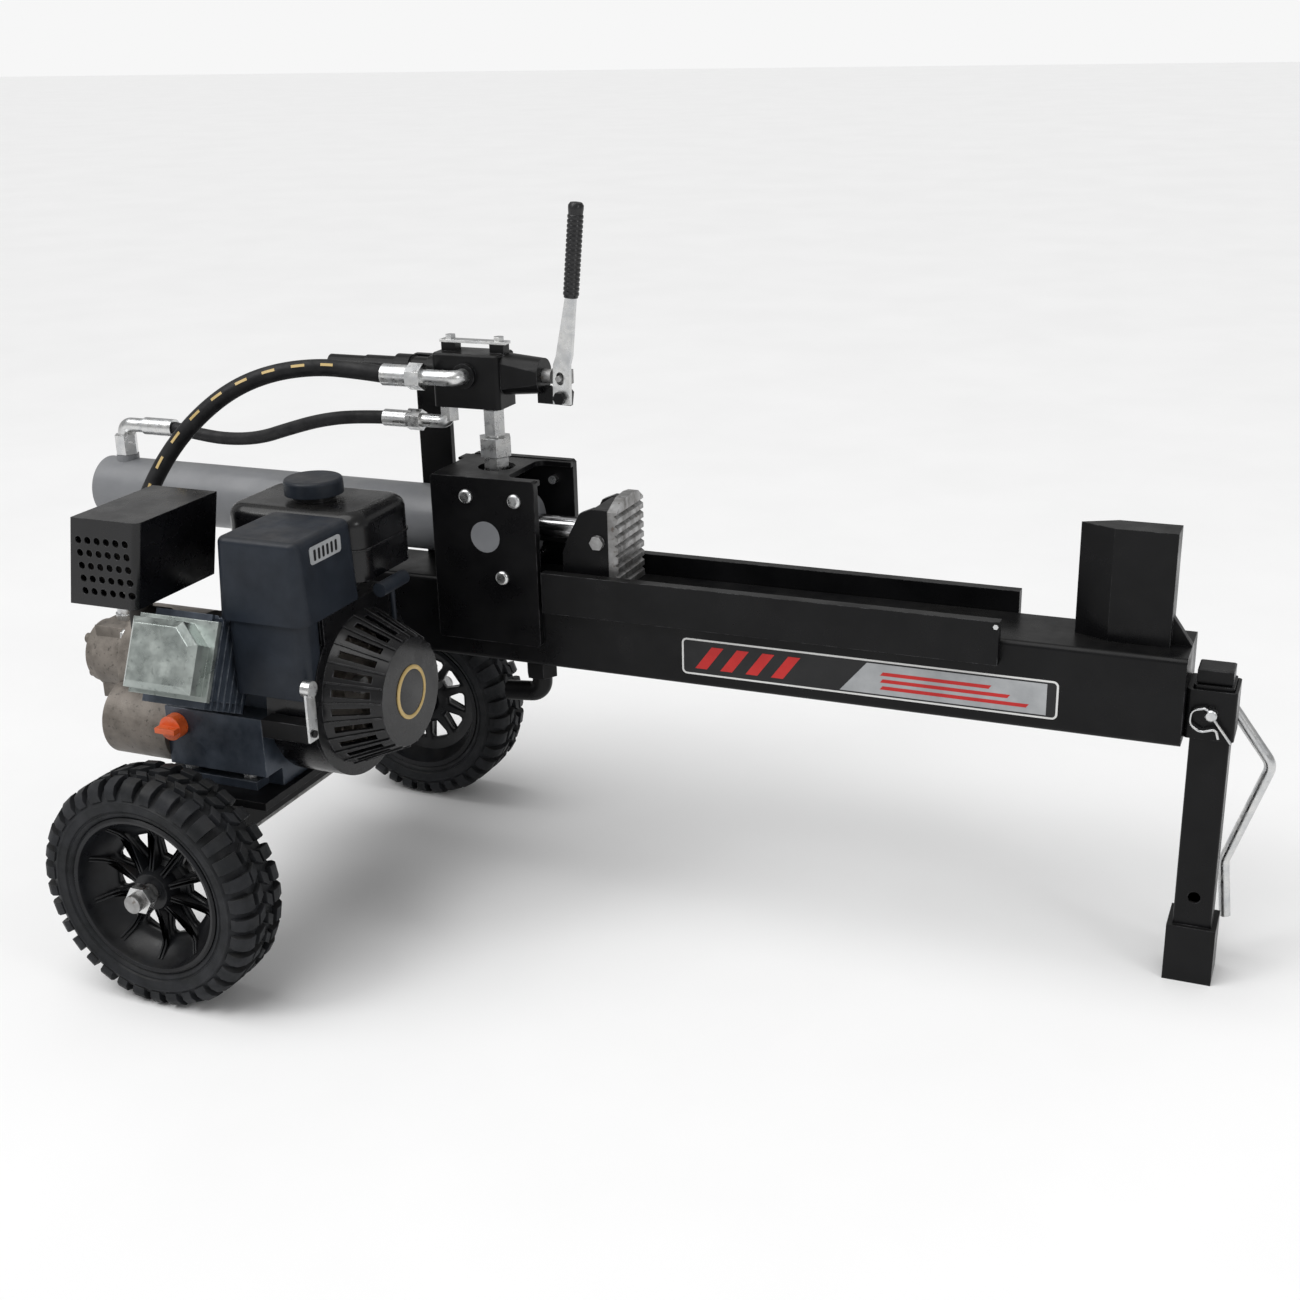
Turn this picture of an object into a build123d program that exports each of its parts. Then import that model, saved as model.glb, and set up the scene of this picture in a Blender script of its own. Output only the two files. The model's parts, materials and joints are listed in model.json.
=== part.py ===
from build123d import *
import math
import os

# Log splitter, in millimetres. The design frame below has X along the beam towards the wedge,
# Y across it and Z up, with X = 0 over the wheel axle, Y = 0 on the beam's centre line and
# Z = 0 on the ground. FRAME_SHIFT moves every piece so that the origin is the middle of the footprint.
FRAME_SHIFT = Vector(-364.6, 138, 0)

# Beam, which is also the oil tank
BEAM_SIDE = 96
BEAM_WALL = 5
BEAM_CORNER = 6
BEAM_X0 = -70
BEAM_X1 = 1000
BEAM_BOTTOM = 281
BEAM_TOP = BEAM_BOTTOM + BEAM_SIDE
BEAM_HALF = BEAM_SIDE / 2
CAP_THICK = 6
RAIL_THICK = 12
RAIL_BOTTOM = 352
RAIL_TOP = 400
RAIL_X0 = 286
RAIL_X1 = 812
RAIL_BOLT_X = 809
RAIL_BOLT_Z = 395

# Wedge
WEDGE_EDGE_X = 880
WEDGE_SHOULDER_X = 916
WEDGE_BACK_X = 979
WEDGE_HALF = 17
WEDGE_TOP = 498

# Tower and hydraulic cylinder
TOWER_X0 = 148
TOWER_X1 = 281
TOWER_BOTTOM = 308
TOWER_TOP = 506
TOWER_THICK = 10
CYL_Z = 436
CYL_R = 39.5
BORE_R = 32.5
CYL_X0 = -362
CYL_X1 = 236
GLAND_X1 = 249
ROD_R = 16
TRUNNION_X = 216
TRUNNION_R = 18.5
PORT_X = 205
REAR_PORT_X = -330
PISTON_X0 = -346
PISTON_X1 = -322
TOWER_BOLTS = [(194, 483), (256, 482), (236, 389)]
TOWER_BOLT_R = 5
TOP_NOTCH_X = 238
TOP_NOTCH_HALF = 42

# Pusher, which slides between the guide rails for 410 mm
PUSHER_X0 = 304
PUSHER_X1 = 362
PLATE_X1 = 374
PUSHER_HALF = 37
PUSHER_WALL = 10
SHOE_TOP = 394
RAIL_CLEARANCE = 0.5
TOOTH_COUNT = 8
TOOTH_PITCH = 11.5
ROD_PIN_X = 349
ROD_PIN_R = 8

# Control valve
VALVE_X0 = 145
VALVE_X1 = 230
VALVE_Y0 = -32
VALVE_Y1 = 12
VALVE_Z0 = 579
VALVE_Z1 = 641
VALVE_BOSSES = (160, 222)
STRAP_Y = -10
STRAP_HALF = 7
STRAP_Z0 = 651
BONNET_X1 = 276
SPOOL_Y = -8
SPOOL_Z = 617
SPOOL_R = 8
INLET_X = 188
INLET_Z = 617
WORK_PORT_X = 156
WORK_PORT_Y = -16
LEVER_X = 300
LEVER_PIVOT_Z = 595
LEVER_Y = -14

# Wheels and axle
WHEEL_R = 132.5
WHEEL_WIDTH = 76
NEAR_WHEEL_Y = -426
FAR_WHEEL_Y = 150
RIM_R = 92
AXLE_R = 10
WINDOW_COUNT = 10

# Leg
LEG_X = 1026
LEG_SIDE = 40
LEG_WALL = 3
LEG_TOP = 342
LEG_CAP_TOP = 358
FOOT_BASE = 4
FOOT_SIDE = 51
FOOT_HEIGHT = 66
SLEEVE_SIDE = 48
SLEEVE_Z0 = 284
SLEEVE_Z1 = 338
PIN_Z = 314
PIN_R = 6.2
PIN_HOLE_R = 6.6
SPARE_HOLE_Z = 100
PIN_NEAR_Y = -34
HANDLE_Y = 56
CLIP_Y = -30.4
CLIP_R = 1.4
CLIP_DIR = (19, -25)
CLIP_LOOP = [(-19.5, 3.5), (-20.5, -12), (-9, -19.5), (6, -14.5), (9, -25)]
CLIP_BENDS = [4, 8, 9, 9, 4]

# Engine: the crankshaft runs along X
ENG_Y = -235
ENG_Z = 310
ENG_BASE = ENG_Z - 106
CYL_AXIS_X = 24
CYL_TILT = 25
SHAFT_R = 9.5
PTO_X = -50
PLATE_TOP = ENG_BASE
PLATE_THICK = 9
PUMP_X0 = -201
PUMP_X1 = -135
RECOIL_X = 210
BLOWER_X0 = 92
BLOWER_R = 100
ENGINE_HOLES = [(-38, ENG_Y - 72), (40, ENG_Y - 72), (-38, ENG_Y + 92), (40, ENG_Y + 92)]
OIL_CAP_X = -35
OIL_CAP_Z = 274
OIL_CAP_R = 14
HANDLE_X = 168
HANDLE_GUIDE_Y = -190
TANK_X0 = -22
TANK_X1 = 154
TANK_Y0 = -228
TANK_Y1 = -108
TANK_BOTTOM = 424
TANK_TOP = 500
TANK_WALL = 3
CAP_X = 66
CAP_Y = -172
AIR_X0 = 47
AIR_X1 = 155
AIR_Y0 = -345
AIR_Y1 = -228
AIR_Z0 = 329
AIR_SEAM = 412
AIR_Z1 = 501
AIR_DRAFT = 3
CARB_X = 76
CARB_Y = -278
GUARD_Y0 = -380
GUARD_Y1 = -245
GUARD_OUTSIDE = [(-112, 424), (-26, 424), (-10, 520), (-96, 520)]
GUARD_INSIDE = [(-109, 427), (-29, 427), (-13, 517), (-93, 517)]
MUFFLER_X = -62
MUFFLER_Y = -330
THROTTLE_X = 158
THROTTLE_Y = -352
THROTTLE_Z = 300
SUCTION_X = 262
SUCTION_Y = -20
FROM_BASE = (Align.CENTER, Align.CENTER, Align.MIN)

# Hoses: outer diameters and routes, from the valve to the pump and from the valve to the cylinder
PRESSURE_HOSE_D = 20
CYLINDER_HOSE_D = 16
PRESSURE_ROUTE = [
    (94, -52, 617), (60, -57, 621), (18, -73, 626), (-28, -95, 621), (-68, -115, 605), (-105, -131, 577),
    (-138, -147, 540), (-162, -164, 497), (-174, -186, 450), (-174, -210, 405), (-168, -228, 371),
]
CYLINDER_ROUTE = [
    (-251, 0, 520), (-216, -1, 515), (-170, -3, 512), (-118, -8, 518), (-70, -12, 534), (-24, -16, 548),
    (26, -19, 557), (72, -20, 559),
]


def block(x0, x1, y0, y1, z0, z1):
    return Pos((x0 + x1) / 2, (y0 + y1) / 2, (z0 + z1) / 2) * Box(x1 - x0, y1 - y0, z1 - z0)


def rod_x(x0, x1, y, z, r):
    return Pos((x0 + x1) / 2, y, z) * Rot(0, 90, 0) * Cylinder(r, x1 - x0)


def rod_y(x, y0, y1, z, r):
    return Pos(x, (y0 + y1) / 2, z) * Rot(90, 0, 0) * Cylinder(r, y1 - y0)


def rod_z(x, y, z0, z1, r):
    return Pos(x, y, (z0 + z1) / 2) * Cylinder(r, z1 - z0)


def hexagon(flats, height):
    return extrude(RegularPolygon(flats / 2, 6, major_radius=False), height)


def hex_z(x, y, z0, z1, flats):
    return Pos(x, y, z0) * hexagon(flats, z1 - z0)


def hex_x(x0, x1, y, z, flats):
    return Pos(x0, y, z) * Rot(0, 90, 0) * hexagon(flats, x1 - x0)


def hex_y(x, y0, y1, z, flats):
    return Pos(x, y1, z) * Rot(90, 0, 0) * hexagon(flats, y1 - y0)


def plate_xz(points, y0, y1):
    outline = Plane.XZ.offset(-y1) * make_face(Polyline(*points, close=True))
    return extrude(outline, y1 - y0)


def plate_yz(points, x0, x1):
    outline = Plane.YZ.offset(x0) * make_face(Polyline(*points, close=True))
    return extrude(outline, x1 - x0)


def corner_radius(before, corner, after):
    inward = Vector(*corner) - Vector(*before)
    outward = Vector(*after) - Vector(*corner)
    half_turn = math.radians(inward.get_angle(outward)) / 2
    return 0.45 * min(inward.length, outward.length) / math.tan(half_turn)


def hose(route, diameter):
    radii = [corner_radius(*route[i - 1:i + 2]) for i in range(1, len(route) - 1)]
    path = FilletPolyline(*route, radius=radii)
    tube = sweep(Plane(origin=path @ 0, z_dir=path % 0) * Circle(diameter / 2), path=path)
    expected = math.pi * (diameter / 2) ** 2 * path.length
    print("hose length %.1f, smallest radius %.0f, volume ratio %.4f"
          % (path.length, min(radii), tube.volume / expected))
    return tube


def bent_bar(route, radius, bends):
    path = FilletPolyline(*route, radius=bends)
    return sweep(Plane(origin=path @ 0, z_dir=path % 0) * Circle(radius), path=path)


def hex_bolt_y(x, y_face, z, diameter, side):
    head = 0.65 * diameter
    low, high = sorted((y_face, y_face + side * head))
    return hex_y(x, low, high, z, 1.6 * diameter)


# Frame

def beam_tube():
    outer = Pos(0, 0, BEAM_BOTTOM + BEAM_HALF) * Box(BEAM_X1 - BEAM_X0, BEAM_SIDE, BEAM_SIDE)
    outer = fillet(outer.edges().filter_by(Axis.X), BEAM_CORNER)
    inner_side = BEAM_SIDE - 2 * BEAM_WALL
    inner = Pos(0, 0, BEAM_BOTTOM + BEAM_HALF) * Box(BEAM_X1 - BEAM_X0, inner_side, inner_side)
    tube = Pos((BEAM_X0 + BEAM_X1) / 2, 0, 0) * (outer - inner)
    return tube - rod_z(SUCTION_X, SUCTION_Y, BEAM_BOTTOM - 1, BEAM_BOTTOM + BEAM_WALL + 1, 10)


def beam_end_caps():
    inset = BEAM_SIDE - 2 * BEAM_WALL
    caps = []
    for x in (BEAM_X0, BEAM_X1 - CAP_THICK):
        cap = Pos(x + CAP_THICK / 2, 0, BEAM_BOTTOM + BEAM_HALF) * Box(CAP_THICK, inset, inset)
        caps.append(cap)
    return caps


def guide_rails():
    rails = []
    for side in (-1, 1):
        y0, y1 = sorted((side * BEAM_HALF, side * (BEAM_HALF + RAIL_THICK)))
        rails.append(block(RAIL_X0, RAIL_X1, y0, y1, RAIL_BOTTOM, RAIL_TOP))
    return rails


def wedge():
    outline = [
        (WEDGE_EDGE_X, 0), (WEDGE_SHOULDER_X, -WEDGE_HALF), (WEDGE_BACK_X, -WEDGE_HALF),
        (WEDGE_BACK_X, WEDGE_HALF), (WEDGE_SHOULDER_X, WEDGE_HALF),
    ]
    body = Pos(0, 0, BEAM_TOP) * extrude(make_face(Polyline(*outline, close=True)), WEDGE_TOP - BEAM_TOP)
    gusset = plate_xz([(WEDGE_BACK_X, BEAM_TOP), (BEAM_X1, BEAM_TOP), (WEDGE_BACK_X, BEAM_TOP + 30)], -5, 5)
    return [body, gusset]


def tower_plate(side):
    y0, y1 = sorted((side * BEAM_HALF, side * (BEAM_HALF + TOWER_THICK)))
    plate = block(TOWER_X0, TOWER_X1, y0, y1, TOWER_BOTTOM, TOWER_TOP)
    plate = chamfer(plate.edges().filter_by(Axis.Y), 3)
    plate -= rod_y(TRUNNION_X, y0 - 1, y1 + 1, CYL_Z, TRUNNION_R)
    for x, z in TOWER_BOLTS:
        plate -= rod_y(x, y0 - 1, y1 + 1, z, TOWER_BOLT_R)
    return plate


def tower_top_plate():
    low, high = TOWER_TOP - 7, TOWER_TOP - 1
    plate = block(TOWER_X0, TOWER_X1, -BEAM_HALF, BEAM_HALF, low, high)
    plate += block(TOWER_X0 - 8, TOWER_X0 + 16, 26, 46, low + 3, high)
    notch = block(TOP_NOTCH_X, TOWER_X1 + 1, -TOP_NOTCH_HALF, TOP_NOTCH_HALF, low - 1, high + 1)
    notch = fillet(notch.edges().filter_by(Axis.Z).group_by(Axis.X)[0], 12)
    return plate - notch - rod_z(PORT_X, 0, low - 1, high + 1, 22)


def dome_bolt_y(x, y_face, z, radius, side, shank):
    head = Pos(x, y_face, z) * Rot(-90 * side, 0, 0) * Cylinder(1.7 * radius, 0.9 * radius, align=FROM_BASE)
    head = fillet(head.faces().sort_by(Axis.Y)[0 if side < 0 else -1].edges(), 0.7 * radius)
    y0, y1 = sorted((y_face, y_face - side * shank))
    return head + rod_y(x, y0, y1, z, radius)


def frame_bolts():
    bolts = []
    outer = BEAM_HALF + TOWER_THICK
    for side in (-1, 1):
        for x, z in TOWER_BOLTS:
            bolts.append(dome_bolt_y(x, side * outer, z, TOWER_BOLT_R, side, TOWER_THICK + 7))
        bolts.append(hex_bolt_y(RAIL_BOLT_X, side * (BEAM_HALF + RAIL_THICK), RAIL_BOLT_Z, 3.2, side))
    return bolts + wheel_nuts()


def leg_sleeve():
    half = SLEEVE_SIDE / 2
    sleeve = block(BEAM_X1, LEG_X + half, -half, half, SLEEVE_Z0, SLEEVE_Z1)
    sleeve = fillet(sleeve.edges().filter_by(Axis.Z), 4)
    bore = LEG_SIDE / 2 + 0.6
    sleeve -= block(LEG_X - bore, LEG_X + bore, -bore, bore, SLEEVE_Z0 - 1, SLEEVE_Z1 + 1)
    return sleeve - rod_y(LEG_X, -half - 1, half + 1, PIN_Z, PIN_HOLE_R)


def leg():
    half = LEG_SIDE / 2
    tube = block(LEG_X - half, LEG_X + half, -half, half, FOOT_BASE, LEG_TOP)
    tube = fillet(tube.edges().filter_by(Axis.Z), 3)
    inner = half - LEG_WALL
    tube -= block(LEG_X - inner, LEG_X + inner, -inner, inner, FOOT_BASE - 1, LEG_TOP + 1)
    for z in (PIN_Z, SPARE_HOLE_Z):
        tube -= rod_y(LEG_X, -half - 1, half + 1, z, PIN_HOLE_R)
    foot_half = FOOT_SIDE / 2
    shoe = block(LEG_X - foot_half, LEG_X + foot_half, -foot_half, foot_half, 0, FOOT_HEIGHT)
    shoe -= block(LEG_X - half, LEG_X + half, -half, half, FOOT_BASE, FOOT_HEIGHT + 1)
    cap = block(LEG_X - 18, LEG_X + 18, -15, 15, LEG_TOP, LEG_CAP_TOP)
    cap = chamfer(cap.faces().sort_by(Axis.Z)[-1].edges(), 1.5)
    return [tube, shoe, cap]


def leg_pin():
    route = [
        (LEG_X, PIN_NEAR_Y, PIN_Z), (LEG_X, HANDLE_Y, PIN_Z), (LEG_X + 61, HANDLE_Y, PIN_Z - 82),
        (LEG_X + 22, HANDLE_Y, PIN_Z - 202), (LEG_X + 29, HANDLE_Y, PIN_Z - 268),
    ]
    bar = bent_bar(route, PIN_R, [14, 18, 18])
    bar = chamfer(bar.edges().filter_by(GeomType.CIRCLE).sort_by(Axis.Y)[0], 1.5)
    return bar - clip_hole()


def clip_axis_points():
    length = math.hypot(*CLIP_DIR)
    unit = (CLIP_DIR[0] / length, CLIP_DIR[1] / length)
    start = (LEG_X - 9 * unit[0], CLIP_Y, PIN_Z - 9 * unit[1])
    end = (LEG_X + 36 * unit[0], CLIP_Y, PIN_Z + 36 * unit[1])
    return start, end


def clip_hole():
    start, end = clip_axis_points()
    middle = Vector(LEG_X, CLIP_Y, PIN_Z)
    direction = Vector(*end) - Vector(*start)
    return Plane(origin=middle, z_dir=direction) * Cylinder(CLIP_R + 0.1, 3 * PIN_R)


def r_clip():
    start, end = clip_axis_points()
    loop = [(LEG_X + dx, CLIP_Y, PIN_Z + dz) for dx, dz in CLIP_LOOP]
    return bent_bar([end, start] + loop, CLIP_R, CLIP_BENDS)


def axle():
    length_y0 = NEAR_WHEEL_Y - WHEEL_WIDTH / 2 - 14
    length_y1 = FAR_WHEEL_Y + WHEEL_WIDTH / 2 + 14
    return rod_y(0, length_y0, length_y1, WHEEL_R, AXLE_R)


def axle_bracket():
    half = 24
    web = 5
    top = PLATE_TOP - PLATE_THICK
    bottom = WHEEL_R + AXLE_R
    y0, y1 = -360, 78
    channel = block(-half, half, y0, y1, bottom, top)
    channel -= block(-half + web, half - web, y0 - 1, y1 + 1, bottom - 1, top - web)
    pedestal = block(-40, 40, -40, 40, PLATE_TOP, BEAM_BOTTOM)
    pedestal -= block(-36, 36, -36, 36, PLATE_TOP - 1, BEAM_BOTTOM + 1)
    saddle = [(-half, bottom), (half, bottom), (6, bottom - AXLE_R), (-6, bottom - AXLE_R)]
    webs = [plate_xz(saddle, y, y + web) for y in (y0, y1 - web)]
    cutter = rod_y(0, y0 - 1, y1 + 1, WHEEL_R, AXLE_R)
    return [channel - cutter, pedestal] + [piece - cutter for piece in webs]


def engine_plate():
    plate = block(-78, 84, -345, 48, PLATE_TOP - PLATE_THICK, PLATE_TOP)
    for x, y in ENGINE_HOLES:
        plate -= rod_z(x, y, PLATE_TOP - PLATE_THICK - 1, PLATE_TOP + 1, 4.2)
    return plate


def wheel_nuts():
    nuts = []
    for y, side in ((NEAR_WHEEL_Y, -1), (FAR_WHEEL_Y, 1)):
        face = y + side * (WHEEL_WIDTH / 2 - 8)
        low, high = sorted((face + side * 0.5, face + side * 12))
        nut = hex_y(0, low, high, WHEEL_R, 28) - rod_y(0, low - 1, high + 1, WHEEL_R, AXLE_R)
        nuts.append(nut)
    return nuts


# Hydraulics

def cylinder_barrel():
    tube = rod_x(CYL_X0, CYL_X1, 0, CYL_Z, CYL_R)
    tube -= rod_x(CYL_X0 + 12, CYL_X1 + 1, 0, CYL_Z, BORE_R)
    outer = BEAM_HALF + TOWER_THICK
    for side in (-1, 1):
        y0, y1 = sorted((side * (CYL_R - 4), side * outer))
        tube += rod_y(TRUNNION_X, y0, y1, CYL_Z, TRUNNION_R)
        y0, y1 = sorted((side * (CYL_R - 4), side * (BEAM_HALF - 0.5)))
        tube += rod_y(TRUNNION_X, y0, y1, CYL_Z, TRUNNION_R + 1)
    for x in (PORT_X, REAR_PORT_X):
        tube += rod_z(x, 0, CYL_Z + CYL_R - 5, CYL_Z + CYL_R + 6, 14)
        tube -= rod_z(x, 0, CYL_Z + BORE_R - 5, CYL_Z + CYL_R + 7, 6)
    return tube


def cylinder_gland():
    gland = rod_x(CYL_X1, GLAND_X1, 0, CYL_Z, 38) + rod_x(CYL_X1 - 22, CYL_X1, 0, CYL_Z, BORE_R)
    gland = chamfer(gland.edges().filter_by(GeomType.CIRCLE).sort_by(Axis.X)[-1], 2)
    gland -= block(GLAND_X1 - 5, GLAND_X1 + 1, -3, 3, CYL_Z + 26, CYL_Z + 40)
    gland -= block(GLAND_X1 - 5, GLAND_X1 + 1, -3, 3, CYL_Z - 40, CYL_Z - 26)
    return gland - rod_x(CYL_X1 - 23, GLAND_X1 + 1, 0, CYL_Z, ROD_R + 0.05)


def piston():
    body = rod_x(PISTON_X0, PISTON_X1, 0, CYL_Z, BORE_R - 0.05)
    middle = (PISTON_X0 + PISTON_X1) / 2
    groove = rod_x(middle - 3, middle + 3, 0, CYL_Z, BORE_R)
    groove -= rod_x(middle - 3, middle + 3, 0, CYL_Z, BORE_R - 3)
    return body - groove - rod_x(PISTON_X0 - 1, PISTON_X1 + 1, 0, CYL_Z, 11)


def piston_rod():
    rod = rod_x(PISTON_X1, ROD_PIN_X - 16, 0, CYL_Z, ROD_R) + rod_x(PISTON_X0 - 3, PISTON_X1, 0, CYL_Z, 11)
    eye = block(ROD_PIN_X - 16, ROD_PIN_X + 12, -16, 16, CYL_Z - 16, CYL_Z + 16)
    return rod + eye - rod_y(ROD_PIN_X, -17, 17, CYL_Z, ROD_PIN_R)


def pusher_frame():
    foot = BEAM_TOP + 0.6
    side_outline = [
        (PUSHER_X0, foot), (PUSHER_X1, foot), (PUSHER_X1, 474), (ROD_PIN_X - 8, 474),
        (ROD_PIN_X - 22, 468), (PUSHER_X0 + 8, 440), (PUSHER_X0, 420),
    ]
    sides = []
    for y in (-PUSHER_HALF, PUSHER_HALF - PUSHER_WALL):
        side = plate_xz(side_outline, y, y + PUSHER_WALL)
        side -= rod_y(ROD_PIN_X, y - 1, y + PUSHER_WALL + 1, CYL_Z, ROD_PIN_R)
        sides.append(side)
    inner = PUSHER_HALF - PUSHER_WALL
    top = block(ROD_PIN_X - 8, PUSHER_X1, -inner, inner, 466, 473)
    floor = block(PUSHER_X0, PUSHER_X1, -inner, inner, foot, SHOE_TOP)
    runners = []
    for side in (-1, 1):
        y0, y1 = sorted((side * PUSHER_HALF, side * (BEAM_HALF - RAIL_CLEARANCE)))
        runner = block(PUSHER_X0, PUSHER_X1, y0, y1, foot, SHOE_TOP)
        runners.append(chamfer(runner.edges().filter_by(Axis.Z), 3))
    return sides + [top, floor] + runners


def push_plate():
    foot = BEAM_TOP + 0.6
    half = PUSHER_HALF + 1
    outline = [(-half, foot), (half, foot), (half, 474), (24, 484), (8, 486), (-14, 484), (-half, 473)]
    plate = plate_yz(outline, PUSHER_X1, PLATE_X1)
    for i in range(TOOTH_COUNT):
        z = foot + 10 + i * TOOTH_PITCH
        groove = [(PLATE_X1 - 4, z), (PLATE_X1 + 1, z - 3.5), (PLATE_X1 + 1, z + 3.5)]
        plate -= plate_xz(groove, -half - 1, half + 1)
    return plate


def rod_pin():
    pin = rod_y(ROD_PIN_X, -PUSHER_HALF, PUSHER_HALF, CYL_Z, ROD_PIN_R)
    for low in (-PUSHER_HALF - 6, PUSHER_HALF):
        pin += hex_y(ROD_PIN_X, low, low + 6, CYL_Z, 15)
    return pin


def valve_body():
    body = block(VALVE_X0, VALVE_X1, VALVE_Y0, VALVE_Y1, VALVE_Z0, VALVE_Z1)
    body = fillet(body.edges().filter_by(Axis.Z), 5)
    body = chamfer(body.faces().sort_by(Axis.Z)[-1].edges(), 2)
    for x in VALVE_BOSSES:
        body += block(x - 9, x + 9, STRAP_Y - STRAP_HALF, STRAP_Y + STRAP_HALF, VALVE_Z1 - 3, STRAP_Z0)
    bonnet = Cone(24, 20, BONNET_X1 - VALVE_X1 + 1, align=FROM_BASE)
    bonnet = Pos(VALVE_X1 - 1, SPOOL_Y, SPOOL_Z) * Rot(0, 90, 0) * bonnet
    bonnet &= block(VALVE_X1 - 1, BONNET_X1, SPOOL_Y - 19, SPOOL_Y + 19, SPOOL_Z - 26, SPOOL_Z + 26)
    body += bonnet + rod_x(VALVE_X0 - 14, VALVE_X0, SPOOL_Y, SPOOL_Z, 16)
    body -= rod_x(VALVE_X0 - 15, BONNET_X1 + 1, SPOOL_Y, SPOOL_Z, SPOOL_R + 0.05)
    body += rod_y(INLET_X, VALVE_Y0 - 5, VALVE_Y0, INLET_Z, 14)
    body -= rod_y(INLET_X, VALVE_Y0 - 6, VALVE_Y0 + 12, INLET_Z, 7)
    for x, y in ((PORT_X, 0), (WORK_PORT_X, WORK_PORT_Y)):
        body -= rod_z(x, y, VALVE_Z0 - 1, VALVE_Z0 + 20, 6)
    return body


def valve_strap():
    x0, x1 = VALVE_BOSSES[0] - 11, VALVE_BOSSES[1] + 11
    strap = block(x0, x1, STRAP_Y - STRAP_HALF, STRAP_Y + STRAP_HALF, STRAP_Z0, STRAP_Z0 + 3)
    bolts = [hex_z(x, STRAP_Y, STRAP_Z0 + 3, STRAP_Z0 + 8, 11) for x in VALVE_BOSSES]
    return [strap] + bolts


def detent_housing():
    sections = [(-4, 46, 11), (46, 88, 12.5), (88, 108, 16), (108, VALVE_X0 - 14, 13.5)]
    x0, x1, r = sections[0]
    housing = rod_x(x0, x1, SPOOL_Y, SPOOL_Z, r)
    for x0, x1, r in sections[1:]:
        housing += rod_x(x0, x1, SPOOL_Y, SPOOL_Z, r)
    return housing - rod_x(4, VALVE_X0 - 13, SPOOL_Y, SPOOL_Z, SPOOL_R + 0.4)


def valve_spool():
    spool = rod_x(40, 287, SPOOL_Y, SPOOL_Z, SPOOL_R)
    for x in (158, 182, 206):
        groove = rod_x(x, x + 10, SPOOL_Y, SPOOL_Z, SPOOL_R + 1)
        spool -= groove - rod_x(x - 1, x + 11, SPOOL_Y, SPOOL_Z, SPOOL_R - 2.5)
    eye = block(284.5, LEVER_X + 9, LEVER_Y + 3.3, SPOOL_Y + 8, SPOOL_Z - 8, SPOOL_Z + 8)
    pin = rod_y(LEVER_X, LEVER_Y - 8, LEVER_Y + 4, SPOOL_Z, 3.5)
    return spool + eye + pin


def lever_link():
    y0, y1 = LEVER_Y + 3.3, LEVER_Y + 9.5
    outline = [
        (BONNET_X1, 592), (BONNET_X1 - 8, 586), (LEVER_X + 9, 585),
        (LEVER_X + 11, 600), (LEVER_X + 7, 605), (BONNET_X1, 605),
    ]
    link = plate_xz(outline, y0, y1)
    link += block(BONNET_X1 - 8, BONNET_X1 + 4, y0, y1 + 8, 586, 604) - valve_body()
    pivot = rod_y(LEVER_X, LEVER_Y - 3.3, y1, LEVER_PIVOT_Z, 4)
    return link + pivot + hex_y(LEVER_X, LEVER_Y - 9.5, LEVER_Y - 3.3, LEVER_PIVOT_Z, 13)


def valve_lever():
    tilt = math.radians(4.5)
    top_x = LEVER_X + 16
    tip_x = top_x + 30 * math.tan(tilt)
    outline = [
        (LEVER_X - 10, LEVER_PIVOT_Z - 8), (LEVER_X + 11, LEVER_PIVOT_Z - 8), (LEVER_X + 12, 632),
        (LEVER_X + 15, 642), (top_x + 6, 707), (tip_x + 6, 737), (tip_x - 6, 737), (top_x - 6, 707),
        (LEVER_X - 4, 642), (LEVER_X - 8, 632),
    ]
    lever = plate_xz(outline, LEVER_Y - 3, LEVER_Y + 3)
    lever -= rod_y(LEVER_X, LEVER_Y - 4, LEVER_Y + 4, LEVER_PIVOT_Z, 4.08)
    slot = block(LEVER_X - 4.3, LEVER_X + 4.3, LEVER_Y - 4, LEVER_Y + 4, SPOOL_Z - 3.5, SPOOL_Z + 2.5)
    slot += rod_y(LEVER_X, LEVER_Y - 4, LEVER_Y + 4, SPOOL_Z - 3.5, 4.3)
    slot += rod_y(LEVER_X, LEVER_Y - 4, LEVER_Y + 4, SPOOL_Z + 2.5, 4.3)
    return lever - slot


def lever_grip():
    grip = Pos(LEVER_X + 16, LEVER_Y, 707) * Rot(0, 6, 0) * Cylinder(9, 104, align=FROM_BASE)
    grip = fillet(grip.faces().sort_by(Axis.Z)[-1].edges(), 4)
    return grip - valve_lever()


def valve_bracket():
    inner = BEAM_HALF - 8
    strap = block(81, 124, inner, BEAM_HALF, BEAM_TOP, 596)
    arm = block(81, 215, inner, BEAM_HALF, 596, 624)
    pad = block(175, 215, VALVE_Y1, inner, 598, 622)
    return strap + arm + pad


def port_adapter():
    port_top = CYL_Z + CYL_R + 6
    adapter = rod_z(PORT_X, 0, port_top, VALVE_Z0, 9)
    adapter += hex_z(PORT_X, 0, port_top + 4, port_top + 16, 27) + hex_z(PORT_X, 0, 500, 517, 28)
    adapter += hex_z(PORT_X, 0, 519, 541, 35) + hex_z(PORT_X, 0, 543, 573, 23)
    return adapter - rod_z(PORT_X, 0, port_top - 1, VALVE_Z0 + 1, 4)


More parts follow.
